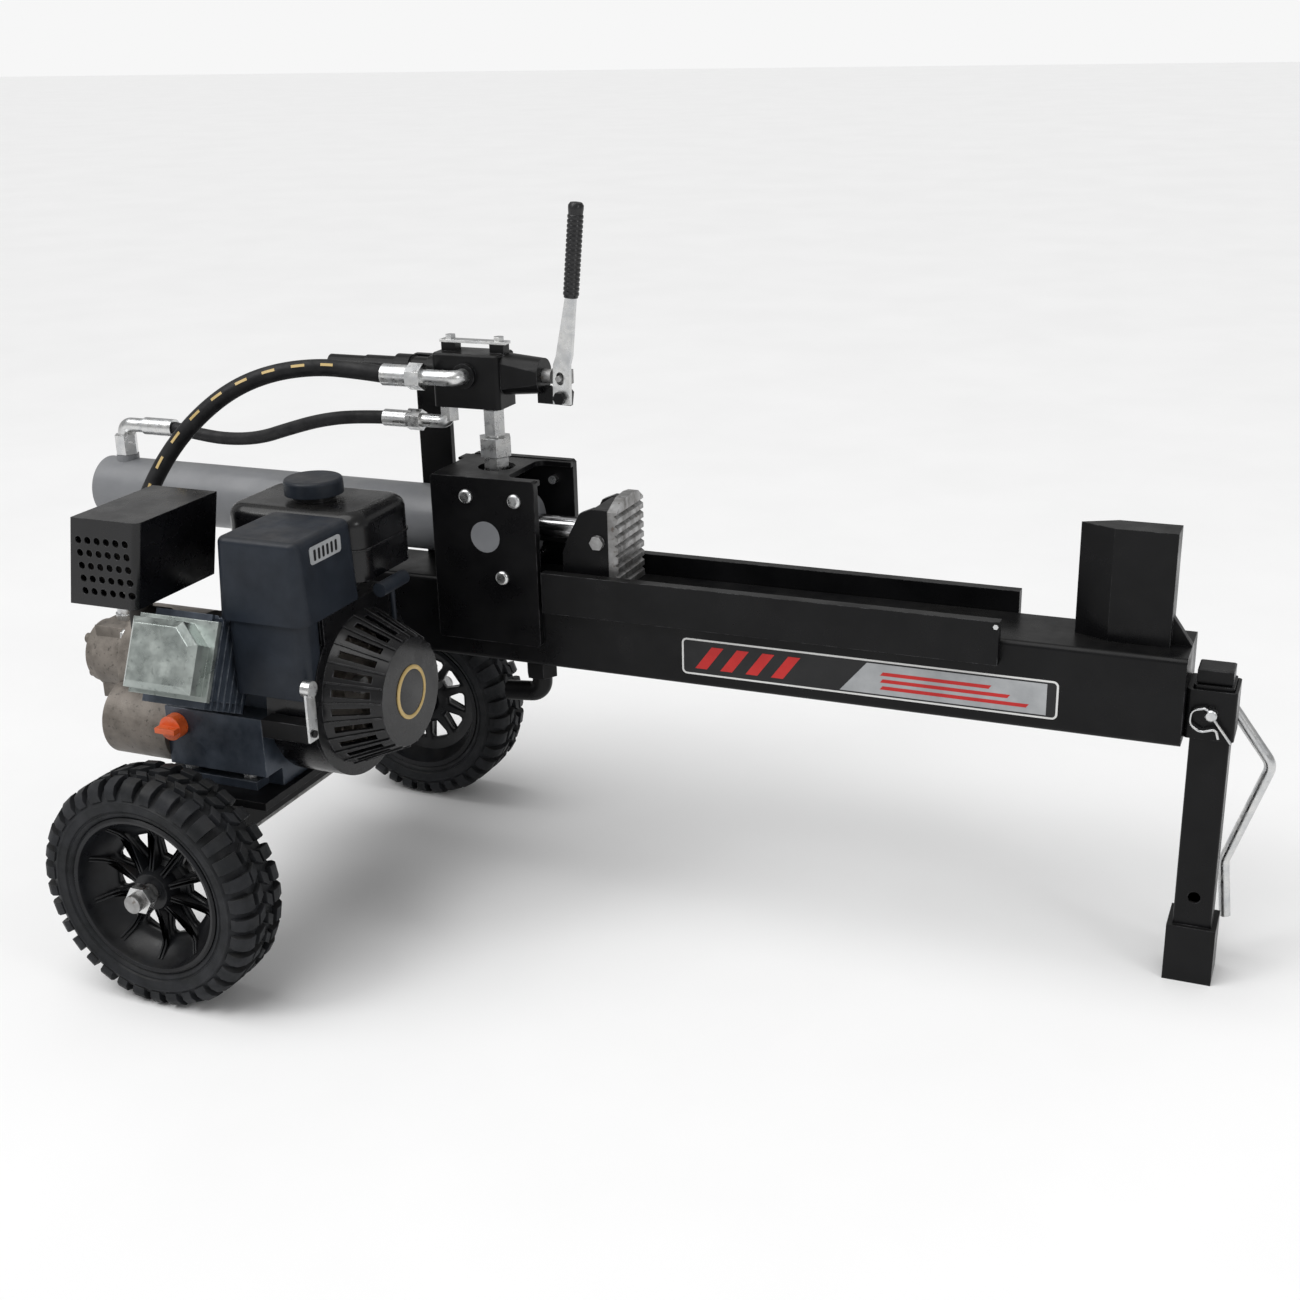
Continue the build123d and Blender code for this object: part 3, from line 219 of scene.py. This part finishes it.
def make_materials():
    made = {}
    black = Finish("satin_black_paint", specular=0.18, edge=1.2)
    black.tones((0.0028, 0.0028, 0.0032), (0.0055, 0.0055, 0.006), 14).dust((0.030, 0.029, 0.027), 0.35, 9)
    black.worn_edges((0.11, 0.11, 0.115), 0.8, 60).roughness(0.24, 0.42, 22)
    black.relief(900, 0.025).relief(9, 0.35, 1)
    made["black_paint"] = black.done()

    steel = Finish("worn_bare_steel", metallic=0.85, edge=0.8)
    steel.tones((0.20, 0.195, 0.19), (0.42, 0.42, 0.42), 35, (1, 3, 1)).spots((0.10, 0.07, 0.05), 0.6, 160)
    steel.roughness(0.32, 0.55, 120).relief(500, 0.06, 4)
    made["bare_steel"] = steel.done()

    grey = Finish("grey_enamel", specular=0.45, edge=0.8)
    grey.tones((0.165, 0.17, 0.18), (0.205, 0.21, 0.22), 12).dust((0.28, 0.28, 0.27), 0.3, 14)
    grey.worn_edges((0.36, 0.36, 0.36), 0.6).roughness(0.30, 0.45, 30).relief(700, 0.03)
    made["grey_paint"] = grey.done()

    chrome = Finish("hard_chrome", metallic=1.0, edge=0)
    chrome.tones((0.60, 0.60, 0.61), (0.72, 0.72, 0.73), 30, (0.2, 4, 4))
    chrome.roughness(0.10, 0.24, 90, (0.2, 5, 5))
    made["chrome_rod"] = chrome.relief(1200, 0.004, 1, (0.1, 4, 4)).done()

    zinc = Finish("bright_zinc", metallic=1.0, edge=0.5)
    zinc.tones((0.56, 0.57, 0.58), (0.68, 0.68, 0.67), 70).spots((0.38, 0.37, 0.35), 0.3, 240)
    made["zinc_plate"] = zinc.roughness(0.20, 0.42, 110).relief(800, 0.02).done()

    rubber = Finish("hose_rubber", specular=0.25, edge=0)
    rubber.tones((0.007, 0.007, 0.008), (0.016, 0.016, 0.017), 60).roughness(0.42, 0.62, 90)
    made["hose_rubber"] = rubber.relief(700, 0.10, 2, (0.25, 1, 1)).dust((0.05, 0.048, 0.045), 0.4, 30).done()

    grip = Finish("ridged_vinyl", specular=0.45, edge=0)
    grip.tones((0.006, 0.006, 0.007), (0.014, 0.014, 0.015), 90)
    made["grip_vinyl"] = grip.roughness(0.28, 0.42, 120).relief(1500, 0.02).done()

    cast = Finish("rough_casting", metallic=0.35, specular=0.4, edge=1.2)
    cast.tones((0.12, 0.105, 0.09), (0.23, 0.205, 0.18), 45).spots((0.05, 0.045, 0.04), 0.7, 220)
    cast.worn_edges((0.36, 0.33, 0.30), 0.6)
    made["cast_grey"] = cast.roughness(0.42, 0.62, 90).relief(420, 0.25, 4).relief(60, 0.5, 2).done()

    engine = Finish("engine_enamel", metallic=0.25, specular=0.5, edge=1.5)
    engine.tones((0.035, 0.045, 0.062), (0.065, 0.080, 0.105), 30).dust((0.16, 0.17, 0.18), 0.45, 20)
    engine.worn_edges((0.25, 0.27, 0.30), 0.7)
    made["engine_paint"] = engine.roughness(0.28, 0.48, 60).relief(380, 0.16, 4).relief(40, 0.5, 2).done()

    alloy = Finish("die_cast_alloy", metallic=0.9, edge=1.5)
    alloy.tones((0.30, 0.335, 0.32), (0.46, 0.50, 0.475), 25).spots((0.16, 0.18, 0.17), 0.5, 130)
    made["cast_aluminium"] = alloy.roughness(0.24, 0.42, 50).relief(300, 0.10, 3).relief(35, 0.8, 2).done()

    gloss = Finish("gloss_black_enamel", specular=0.3, coat=0.2, coat_roughness=0.12, edge=1.2)
    gloss.tones((0.0026, 0.0026, 0.0032), (0.005, 0.005, 0.006), 20).dust((0.040, 0.038, 0.034), 0.4, 16)
    gloss.worn_edges((0.14, 0.14, 0.15), 0.6)
    made["black_steel"] = gloss.roughness(0.20, 0.36, 26).relief(700, 0.02).relief(16, 0.5, 1).done()

    plastic = Finish("textured_plastic", specular=0.22, edge=1.2)
    plastic.tones((0.013, 0.0165, 0.023), (0.019, 0.024, 0.033), 30).dust((0.06, 0.055, 0.05), 0.5, 18)
    made["black_plastic"] = plastic.roughness(0.34, 0.46, 50).relief(1300, 0.06, 2).done()

    hot = Finish("heatproof_black", metallic=0.2, specular=0.3, edge=1.0)
    hot.tones((0.012, 0.011, 0.010), (0.035, 0.030, 0.026), 40)
    made["hot_steel"] = hot.roughness(0.55, 0.75, 60).relief(400, 0.12, 3).done()

    orange = Finish("orange_plastic", specular=0.5, coat=0.2, edge=0.8)
    orange.tones((0.72, 0.105, 0.018), (0.85, 0.15, 0.03), 40).dust((0.5, 0.25, 0.15), 0.4, 60)
    made["orange_plastic"] = orange.roughness(0.25, 0.40, 60).relief(900, 0.03).done()

    rim = Finish("moulded_rim", specular=0.25, edge=1.0)
    rim.tones((0.006, 0.006, 0.007), (0.011, 0.012, 0.014), 30).dust((0.05, 0.048, 0.045), 0.4, 25)
    made["rim_plastic"] = rim.roughness(0.26, 0.42, 40).relief(1000, 0.03).done()

    tyre = Finish("tyre_rubber", specular=0.2, edge=0.6)
    tyre.tones((0.009, 0.010, 0.011), (0.020, 0.021, 0.024), 35).dust((0.06, 0.057, 0.052), 0.5, 22)
    made["tyre_rubber"] = tyre.roughness(0.45, 0.70, 50).relief(600, 0.12, 3).done()

    for name, dark, light in (
        ("label_white", (0.62, 0.62, 0.61), (0.70, 0.70, 0.69)),
        ("label_red", (0.42, 0.012, 0.012), (0.52, 0.02, 0.018)),
        ("label_black", (0.006, 0.006, 0.007), (0.010, 0.010, 0.011)),
        ("label_gold", (0.50, 0.36, 0.14), (0.60, 0.44, 0.19)),
        ("label_silver", (0.30, 0.31, 0.32), (0.40, 0.41, 0.42)),
    ):
        film = Finish(name, specular=0.35, edge=0)
        made[name] = film.tones(dark, light, 25).roughness(0.32, 0.48, 40).relief(700, 0.01).done()
    return made


# Building meshes: a shape is a list of corners and a list of faces

AXES = {"x": (1, 2, 0), "y": (2, 0, 1), "z": (0, 1, 2)}


def turned(axis, across, up, along):
    """A point from two coordinates across an axis and one along it."""
    first, second, third = AXES[axis]
    point = [0.0, 0.0, 0.0]
    point[first], point[second], point[third] = across, up, along
    return Vector(point)


def lathe(profile, centre, axis, steps):
    """Turns (radius, distance along the axis) points round an axis through centre."""
    centre = Vector(centre)
    corners = []
    for i in range(steps):
        angle = 2 * math.pi * i / steps
        for radius, along in profile:
            corners.append(centre + turned(axis, radius * math.cos(angle), radius * math.sin(angle), along))
    faces = []
    count = len(profile)
    for i in range(steps):
        a, b = i * count, ((i + 1) % steps) * count
        for j in range(count - 1):
            faces.append((a + j, b + j, b + j + 1, a + j + 1))
    return corners, faces


def prism(outline, axis, low, high):
    """Pushes an outline of (across, up) points along an axis."""
    count = len(outline)
    corners = [turned(axis, u, v, w) for w in (low, high) for u, v in outline]
    faces = [tuple(range(count - 1, -1, -1)), tuple(range(count, 2 * count))]
    faces += [(i, (i + 1) % count, count + (i + 1) % count, count + i) for i in range(count)]
    return corners, faces


def section_faces(count):
    """Faces that join a section to a copy of it, with the copy's corners listed after its own."""
    faces = [tuple(range(count)), tuple(range(2 * count - 1, count - 1, -1))]
    return faces + [(i, i + count, (i + 1) % count + count, (i + 1) % count) for i in range(count)]


def polygon(sides, radius, centre=(0.0, 0.0), turn=0.0):
    angles = [turn + 2 * math.pi * i / sides for i in range(sides)]
    return [(centre[0] + radius * math.cos(a), centre[1] + radius * math.sin(a)) for a in angles]


def moved(shape, matrix):
    corners, faces = shape
    return [matrix @ Vector(corner) for corner in corners], faces


def spun(shape, axis, centre, angle):
    centre = Vector(centre)
    turn = Matrix.Rotation(angle, 4, axis.upper())
    return moved(shape, Matrix.Translation(centre) @ turn @ Matrix.Translation(-centre))


def piece(name, shapes, slot, body, bevel=0.0, segments=2, crease=40.0, material=None):
    """One object made of several shapes, which rides on a CAD body and takes a slot's finish."""
    sheet = bmesh.new()
    for corners, faces in shapes:
        made = [sheet.verts.new(corner) for corner in corners]
        for face in faces:
            sheet.faces.new([made[i] for i in face])
    bmesh.ops.remove_doubles(sheet, verts=sheet.verts, dist=1e-7)
    bmesh.ops.recalc_face_normals(sheet, faces=sheet.faces)
    mesh = bpy.data.meshes.new(name)
    finish_mesh(sheet, mesh, crease)
    item = bpy.data.objects.new(name, mesh)
    SCENE.collection.objects.link(item)
    if bevel:
        modifier = item.modifiers.new("bevel", "BEVEL")
        modifier.width = bevel
        modifier.segments = segments
        modifier.limit_method = "ANGLE"
        modifier.angle_limit = math.radians(crease)
        modifier.harden_normals = True
    mesh.materials.append(material or MATERIALS[slot])
    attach(item, body)
    return item


def finish_mesh(sheet, mesh, crease):
    for face in sheet.faces:
        face.smooth = True
    for edge in sheet.edges:
        edge.smooth = edge.calc_face_angle(0) < math.radians(crease)
    sheet.to_mesh(mesh)
    sheet.free()


def cut(item, cutter):
    """Takes cutter away from item and removes cutter."""
    modifier = item.modifiers.new("cut", "BOOLEAN")
    modifier.operation = "DIFFERENCE"
    modifier.solver = "EXACT"
    modifier.object = cutter
    bpy.context.view_layer.update()
    result = bpy.data.meshes.new_from_object(item.evaluated_get(bpy.context.evaluated_depsgraph_get()))
    item.modifiers.clear()
    item.data = result
    bpy.data.objects.remove(cutter)


# Wheels

def wheel(side_name, outside):
    """A block-tread tyre and a ten-spoke dished rim in place of the plain CAD ones."""
    low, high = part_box(side_name + "_wheel_tyre")
    centre = (low + high) / 2
    radius = (high.z - low.z) / 2
    half = (high.y - low.y) / 2
    body = side_name + "_wheel"
    shell = radius - 0.0065
    profile = []
    for side in (-1, 1):
        wall = [
            (0.0905, half - 0.0080), (0.0935, half - 0.0045), (0.0965, half - 0.0030),
            (0.0975, half - 0.0042), (0.0990, half - 0.0042), (0.1000, half - 0.0022),
            (0.1080, half - 0.0012), (0.1085, half - 0.0004), (0.1105, half - 0.0004),
            (0.1110, half - 0.0012), (0.1160, half - 0.0035), (0.1205, half - 0.0080),
            (shell - 0.0015, half - 0.0160), (shell, half - 0.0270),
        ]
        wall = [(r, side * y) for r, y in wall]
        profile += wall if side < 0 else wall[::-1]
    profile.append(profile[0])
    shapes = [lathe(profile, centre, "y", 96)]
    blocks = 34
    pitch = 2 * math.pi / blocks
    for i in range(blocks):
        angle = i * pitch
        shapes += tread_blocks(centre, radius, shell, half, angle, pitch, i)
    tyre = piece(side_name + "_tyre", shapes, "tyre_rubber", body, 0.0007, 2, 38)
    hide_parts(side_name + "_wheel_tyre")
    rim(side_name, centre, half, outside)


def tread_blocks(centre, radius, shell, half, angle, pitch, index):
    """Two crown lugs, set off from each other, and one shoulder lug on each side."""
    made = []
    stagger = 0.5 * pitch
    crown = [
        (0.0015, 0.0125, 0.08, 0.62, 0.30), (-0.0125, -0.0015, 0.08, 0.62, -0.30),
    ]
    for y0, y1, start, share, lean in crown:
        shift = stagger if y0 < 0 else 0
        a0 = angle + shift + pitch * start
        a1 = a0 + pitch * share
        made.append(lug(centre, [
            (a0, y0, lean), (a1, y0, lean), (a1, y1, lean), (a0, y1, lean),
        ], shell - 0.001, radius, pitch))
    for side in (-1, 1):
        shift = stagger if side < 0 else 0
        a0 = angle + shift + pitch * (0.12 if index % 2 else 0.18)
        a1 = angle + shift + pitch * (0.80 if index % 2 else 0.74)
        made.append(shoulder_lug(centre, radius, shell, half, side, a0, a1, 0.0305 if index % 2 else 0.0265))
    return made


def wheel_point(centre, radius, angle, y):
    return centre + Vector((radius * math.sin(angle), y, radius * math.cos(angle)))


def lug(centre, footprint, bottom, top, pitch):
    corners = []
    for radius, shrink in ((bottom, 0.0), (top, 0.0009)):
        middle_angle = sum(a for a, _, _ in footprint) / 4
        middle_y = sum(y for _, y, _ in footprint) / 4
        for angle, y, lean in footprint:
            angle = angle + lean * pitch * (y - middle_y) / 0.011
            angle -= math.copysign(shrink / radius, angle - middle_angle)
            y -= math.copysign(shrink, y - middle_y)
            corners.append(wheel_point(centre, radius, angle, y))
    faces = [(3, 2, 1, 0), (4, 5, 6, 7)] + [(i, (i + 1) % 4, 4 + (i + 1) % 4, 4 + i) for i in range(4)]
    return corners, faces


def shoulder_lug(centre, radius, shell, half, side, a0, a1, inner):
    """A lug from the crown's edge over the shoulder and down the side wall."""
    section = [
        (shell - 0.002, inner - 0.012), (radius, inner - 0.012), (radius - 0.0006, inner - 0.003),
        (radius - 0.0045, half - 0.0045), (radius - 0.0120, half), (radius - 0.0190, half - 0.0006),
        (radius - 0.0200, half - 0.0040), (radius - 0.0120, half - 0.0110),
    ]
    corners = []
    for angle in (a0, a1):
        for r, y in section:
            corners.append(wheel_point(centre, r, angle, side * y))
    return corners, section_faces(len(section))


SPOKES = 10
RIB_APART = 0.0020
RIB_HALF = 0.0011


def rim(side_name, centre, half, outside):
    """Barrel, dished web with windows, ribs on the spokes, and hub; outside is -1 or 1 along Y."""
    edge = half - 0.0050
    barrel = [
        (0.0912, -edge), (0.0912, edge), (0.0885, edge + 0.0020),
        (0.0850, edge + 0.0010), (0.0835, edge - 0.0030),
        (0.0815, edge - 0.0130), (0.0700, 0.0065), (0.0640, 0.0020), (0.0300, 0.0000), (0.0250, 0.0040),
        (0.0235, 0.0140), (0.0205, edge - 0.0120), (0.0106, edge - 0.0120), (0.0106, -edge + 0.006),
        (0.0205, -edge + 0.006), (0.0230, -0.0120), (0.0300, -0.0075), (0.0640, -0.0055), (0.0745, -0.0085),
        (0.0830, -edge + 0.008), (0.0850, -edge), (0.0912, -edge),
    ]
    if outside < 0:
        barrel = [(r, -y) for r, y in barrel]
    item = piece(side_name + "_rim", [lathe(barrel, centre, "y", 120)], "rim_plastic", side_name + "_wheel")
    windows = []
    for i in range(SPOKES):
        outline = [(-0.0050, 0.0350), (0.0050, 0.0350), (0.0125, 0.0520), (0.0125, 0.0565), (0.0095, 0.0590),
                   (-0.0095, 0.0590), (-0.0125, 0.0565), (-0.0125, 0.0520)]
        outline = [(v + centre.z, u + centre.x) for u, v in outline]
        angle = 2 * math.pi * (i + 0.5) / SPOKES
        windows.append(spun(prism(outline, "y", centre.y - 0.02, centre.y + 0.02), "y", centre, angle))
    cutter = piece("windows", windows, "rim_plastic", side_name + "_wheel")
    cut(item, cutter)
    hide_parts(side_name + "_wheel_rim")
    ribs = []
    for i in range(SPOKES):
        for middle in (-RIB_APART, RIB_APART):
            section = [(0.0200, 0.0000), (0.0780, 0.0080), (0.0815, edge - 0.0110), (0.0700, 0.0120),
                       (0.0560, 0.0060), (0.0220, 0.0165)]
            corners = []
            for u in (middle - RIB_HALF, middle + RIB_HALF):
                corners += [centre + Vector((u, outside * y, r)) for r, y in section]
            rib = (corners, section_faces(len(section)))
            ribs.append(spun(rib, "y", centre, 2 * math.pi * i / SPOKES))
    piece(side_name + "_rim_ribs", ribs, "rim_plastic", side_name + "_wheel", 0.0005)


# Floor and light

def add_stage():
    size = 30.0
    floor = bpy.data.meshes.new("floor")
    corners = [(-size, -size, 0), (size, -size, 0), (size, size, 0), (-size, size, 0)]
    floor.from_pydata(corners, [], [(0, 1, 2, 3)])
    item = bpy.data.objects.new("floor", floor)
    SCENE.collection.objects.link(item)
    pale = Finish("pale_floor", specular=0.2, edge=0)
    pale.tones((0.89, 0.89, 0.89), (0.91, 0.91, 0.91), 2).roughness(0.7, 0.8, 4).relief(80, 0.02)
    floor.materials.append(pale.done())


def add_lights():
    world = bpy.data.worlds.new("studio")
    world.use_nodes = True
    background = world.node_tree.nodes["Background"]
    background.inputs[0].default_value = (1.0, 1.0, 1.0, 1)
    background.inputs[1].default_value = 0.42
    backdrop = world.node_tree.nodes.new("ShaderNodeBackground")
    backdrop.inputs[0].default_value = (1.0, 1.0, 1.0, 1)
    backdrop.inputs[1].default_value = 0.93
    seen = world.node_tree.nodes.new("ShaderNodeLightPath")
    mix = world.node_tree.nodes.new("ShaderNodeMixShader")
    links = world.node_tree.links
    links.new(seen.outputs["Is Camera Ray"], mix.inputs[0])
    links.new(background.outputs[0], mix.inputs[1])
    links.new(backdrop.outputs[0], mix.inputs[2])
    links.new(mix.outputs[0], world.node_tree.nodes["World Output"].inputs["Surface"])
    SCENE.world = world
    SCENE.view_settings.view_transform = "Standard"
    sun = bpy.data.lights.new("soft_sun", "SUN")
    sun.energy = 1.9
    sun.angle = math.radians(60)
    item = bpy.data.objects.new("soft_sun", sun)
    item.rotation_euler = (math.radians(18), math.radians(-14), 0)
    SCENE.collection.objects.link(item)
    for name, place, target, size, power in (
        ("key", (-1.6, -1.8, 2.6), (0, 0, 0.3), 0.9, 16),
        ("fill", (2.6, -1.2, 1.8), (0, 0, 0.3), 0.8, 10),
    ):
        data = bpy.data.lights.new(name, "AREA")
        data.size = size
        data.energy = power
        light = bpy.data.objects.new(name, data)
        light.location = place
        light.rotation_euler = (Vector(target) - Vector(place)).to_track_quat("-Z", "Y").to_euler()
        SCENE.collection.objects.link(light)


def dress_nodes():
    """Every CAD node that stays gets the finish of its slot."""
    slots = {row["node"]: row["material_slot"] for row in frame["record"]["subparts"]}
    for name, item in NODES.items():
        item.data.materials.clear()
        item.data.materials.append(MATERIALS[slots[name]])


def hose(name, node, facts, body, pieces=()):
    item = spline_curve(name, facts["route"], facts["diameter"] / 2)
    item.data.materials.append(MATERIALS["hose_rubber"])
    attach(item, body)
    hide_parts(node)


# Pieces along a hose

DASH_SIDE = math.pi - 0.55
DASH_HALF_WIDTH = 0.16
DASH_EVERY = 9
DASH_SPAN = 4


def strip_along(points, radius, around, half_width, first, last):
    """A thin band on a tube's surface, between two places along its centre line."""
    corners, faces = [], []
    for i in range(first, last + 1):
        along = (points[i + 1] - points[i - 1]).normalized()
        side = along.cross(Vector((0, 0, 1))).normalized()
        up = side.cross(along)
        for angle, r in ((around - half_width, radius - 0.0002), (around + half_width, radius - 0.0002),
                         (around + half_width, radius + 0.0003), (around - half_width, radius + 0.0003)):
            corners.append(points[i] + r * (math.cos(angle) * side + math.sin(angle) * up))
    count = last - first + 1
    for k in range(count - 1):
        faces += [(4 * k + j, 4 * k + (j + 1) % 4, 4 * k + 4 + (j + 1) % 4, 4 * k + 4 + j) for j in range(4)]
    return corners, faces + [(3, 2, 1, 0), tuple(4 * count - 4 + j for j in range(4))]


def hose_dashes():
    points = centre_line(PRESSURE_ROUTE)
    radius = PRESSURE_HOSE["diameter"] / 2
    dashes = []
    for i in range(14, len(points) - 12, DASH_EVERY):
        dashes.append(strip_along(points, radius, DASH_SIDE, DASH_HALF_WIDTH, i, i + DASH_SPAN))
    return piece("hose_dashes", dashes, "hose_rubber", "frame", material=MATERIALS["label_gold"])


# Small parts and trim, each placed from the box of the part it sits on

def rounded_outline(u0, u1, v0, v1, radius, steps=6):
    outline = []
    for cu, cv, start in ((u1 - radius, v1 - radius, 0), (u0 + radius, v1 - radius, 1),
                          (u0 + radius, v0 + radius, 2), (u1 - radius, v0 + radius, 3)):
        for k in range(steps + 1):
            angle = math.pi / 2 * (start + k / steps)
            outline.append((cu + radius * math.cos(angle), cv + radius * math.sin(angle)))
    return outline


def beam_decal():
    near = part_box("beam_tube")[0][1]
    x0, x1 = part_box("guide_rails")[0][0] + 0.168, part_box("wedge")[0][0] - 0.005
    z0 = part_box("beam_tube")[0][2] + 0.014
    z1 = z0 + 0.043
    layers = [("label_white", [rounded_outline(z0, z1, x0, x1, 0.006)])]
    field = 0.0022
    layers.append(("label_black", [rounded_outline(z0 + field, z1 - field, x0 + field, x1 - field, 0.004)]))
    middle = x0 + 0.44 * (x1 - x0)
    inset = 0.004
    silver_end = x1 - 0.012
    silver = [(z0 + inset, middle), (z1 - inset, middle + 0.03), (z1 - inset, silver_end),
              (z0 + inset, silver_end)]
    layers.append(("label_silver", [silver]))
    stripes = []
    for i in range(4):
        start = x0 + 0.016 + 0.030 * i
        stripes.append([(z0 + 0.008, start), (z1 - 0.008, start + 0.020), (z1 - 0.008, start + 0.034),
                        (z0 + 0.008, start + 0.014)])
    for i in range(3):
        low = z0 + 0.010 + 0.008 * i
        end = x1 - 0.03 - 0.02 * i
        stripes.append([(low, middle + 0.045), (low + 0.004, middle + 0.048), (low + 0.004, end),
                        (low, end - 0.003)])
    layers.append(("label_red", stripes))
    for level, (finish, outlines) in enumerate(layers):
        face = near - 0.0001 - 0.00015 * level
        shapes = [prism(outline, "y", face - 0.0001, near + 0.0002) for outline in outlines]
        piece("beam_" + finish, shapes, "black_paint", "frame", material=MATERIALS[finish])


def ridged_grip():
    low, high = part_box("lever_grip")
    length = 0.1035
    groove, ridge = 0.0080, 0.0089
    profile = [(0.0001, 0.0), (groove, 0.0)]
    pitch = 0.0052
    ridges = int((length - 0.012) / pitch)
    for i in range(ridges):
        start = 0.002 + i * pitch
        profile += [(groove, start), (ridge, start + 0.0012), (ridge, start + 0.0036), (groove, start + 0.0048)]
    profile += [(0.0086, length - 0.008), (0.0086, length - 0.004), (0.0066, length - 0.001)]
    profile.append((0.0001, length))
    foot = Vector((low[0] + 0.0090, (low[1] + high[1]) / 2, low[2] + 0.0009))
    shape = lathe(profile, Vector((0, 0, 0)), "z", 40)
    placement = Matrix.Translation(foot) @ Matrix.Rotation(math.radians(6), 4, "Y")
    item = piece("ridged_grip", [moved(shape, placement)], "grip_vinyl", "lever", 0.0002)
    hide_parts("lever_grip")


def tank_seam():
    low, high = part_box("fuel_tank")
    level = low[2] + 0.034
    proud = 0.0016
    outline = rounded_outline(low[0] - proud, high[0] + proud, low[1] - proud, high[1] + proud, 0.027, 10)
    piece("tank_seam", [prism(outline, "z", level, level + 0.0026)], "black_steel", "frame", 0.0006)


def recoil_fins():
    low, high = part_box("recoil_cover")
    centre = Vector((low[0], (low[1] + high[1]) / 2, low[2] + 0.100))
    depth = high[0] - low[0] - 0.004
    fins = []
    for i in range(24):
        outline = [(0.084, 0.004), (0.0875, 0.004), (0.0625, depth + 0.003), (0.0600, depth + 0.003),
                   (0.0590, depth)]
        corners = []
        for u in (-0.0011, 0.0011):
            corners += [centre + Vector((x, u, r)) for r, x in outline]
        fin = (corners, section_faces(len(outline)))
        fins.append(spun(fin, "x", centre, math.radians(15 * i + 7.5)))
    piece("recoil_fins", fins, "black_steel", "frame", 0.0005)


def bolt_heads():
    """Hexagon heads and washers on the pump's flange."""
    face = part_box("pump_mount")[0][0]
    y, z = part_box("pump_body")[0][1] + 0.042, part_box("pump_body")[0][2] + 0.046
    circle = 0.054
    heads = []
    for angle in range(45, 360, 90):
        u = y + circle * math.cos(math.radians(angle))
        v = z + circle * math.sin(math.radians(angle))
        heads.append(prism(polygon(6, 0.0062, (u, v), 0.3), "x", face - 0.006, face + 0.001))
        heads.append(prism(polygon(24, 0.0085, (u, v)), "x", face - 0.0012, face + 0.001))
    piece("pump_bolts", heads, "zinc_plate", "frame", 0.0004)


def air_cleaner_strip():
    low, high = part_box("air_cleaner_cover")
    middle = (low[1] + high[1]) / 2
    face = high[0] - 0.0038
    y0, y1, z0, z1 = middle - 0.030, middle + 0.028, high[2] - 0.029, high[2] - 0.010
    strip = [prism(rounded_outline(y0, y1, z0, z1, 0.004), "x", face - 0.003, face + 0.0012)]
    body = "air_filter_cover"
    piece("air_strip", strip, "black_plastic", body, 0.0004, material=MATERIALS["label_silver"])
    slots = []
    for i in range(6):
        start = y0 + 0.006 + 0.008 * i
        slots.append(prism(rounded_outline(start, start + 0.004, z0 + 0.0035, z1 - 0.0035, 0.0015), "x",
                           face + 0.0008, face + 0.0015))
    piece("air_strip_slots", slots, "black_plastic", body, material=MATERIALS["label_black"])


def recoil_badge():
    """A plain round plate with a gold ring, in the middle of the recoil cover."""
    low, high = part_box("recoil_cover")
    centre = Vector((high[0], (low[1] + high[1]) / 2, low[2] + 0.100))
    ring = [(0.0255, -0.0005), (0.0300, -0.0005), (0.0300, 0.0012), (0.0285, 0.0020), (0.0265, 0.0020),
            (0.0255, 0.0012), (0.0255, -0.0005)]
    plate = [(0.0001, -0.0005), (0.0258, -0.0005), (0.0258, 0.0008), (0.0200, 0.0013), (0.0001, 0.0015)]
    gold = MATERIALS["label_gold"]
    piece("badge_ring", [lathe(ring, centre, "x", 64)], "black_steel", "frame", material=gold)
    piece("badge_plate", [lathe(plate, centre, "x", 64)], "black_steel", "frame")


add_camera()
MATERIALS = make_materials()
hose("pressure_line", "pressure_hose", PRESSURE_HOSE, "frame", [hose_dashes()])
hose("cylinder_line", "cylinder_hose", CYLINDER_HOSE, "frame")
dress_nodes()
wheel("near", -1)
wheel("far", 1)
beam_decal()
ridged_grip()
tank_seam()
recoil_fins()
bolt_heads()
air_cleaner_strip()
recoil_badge()
add_stage()
add_lights()
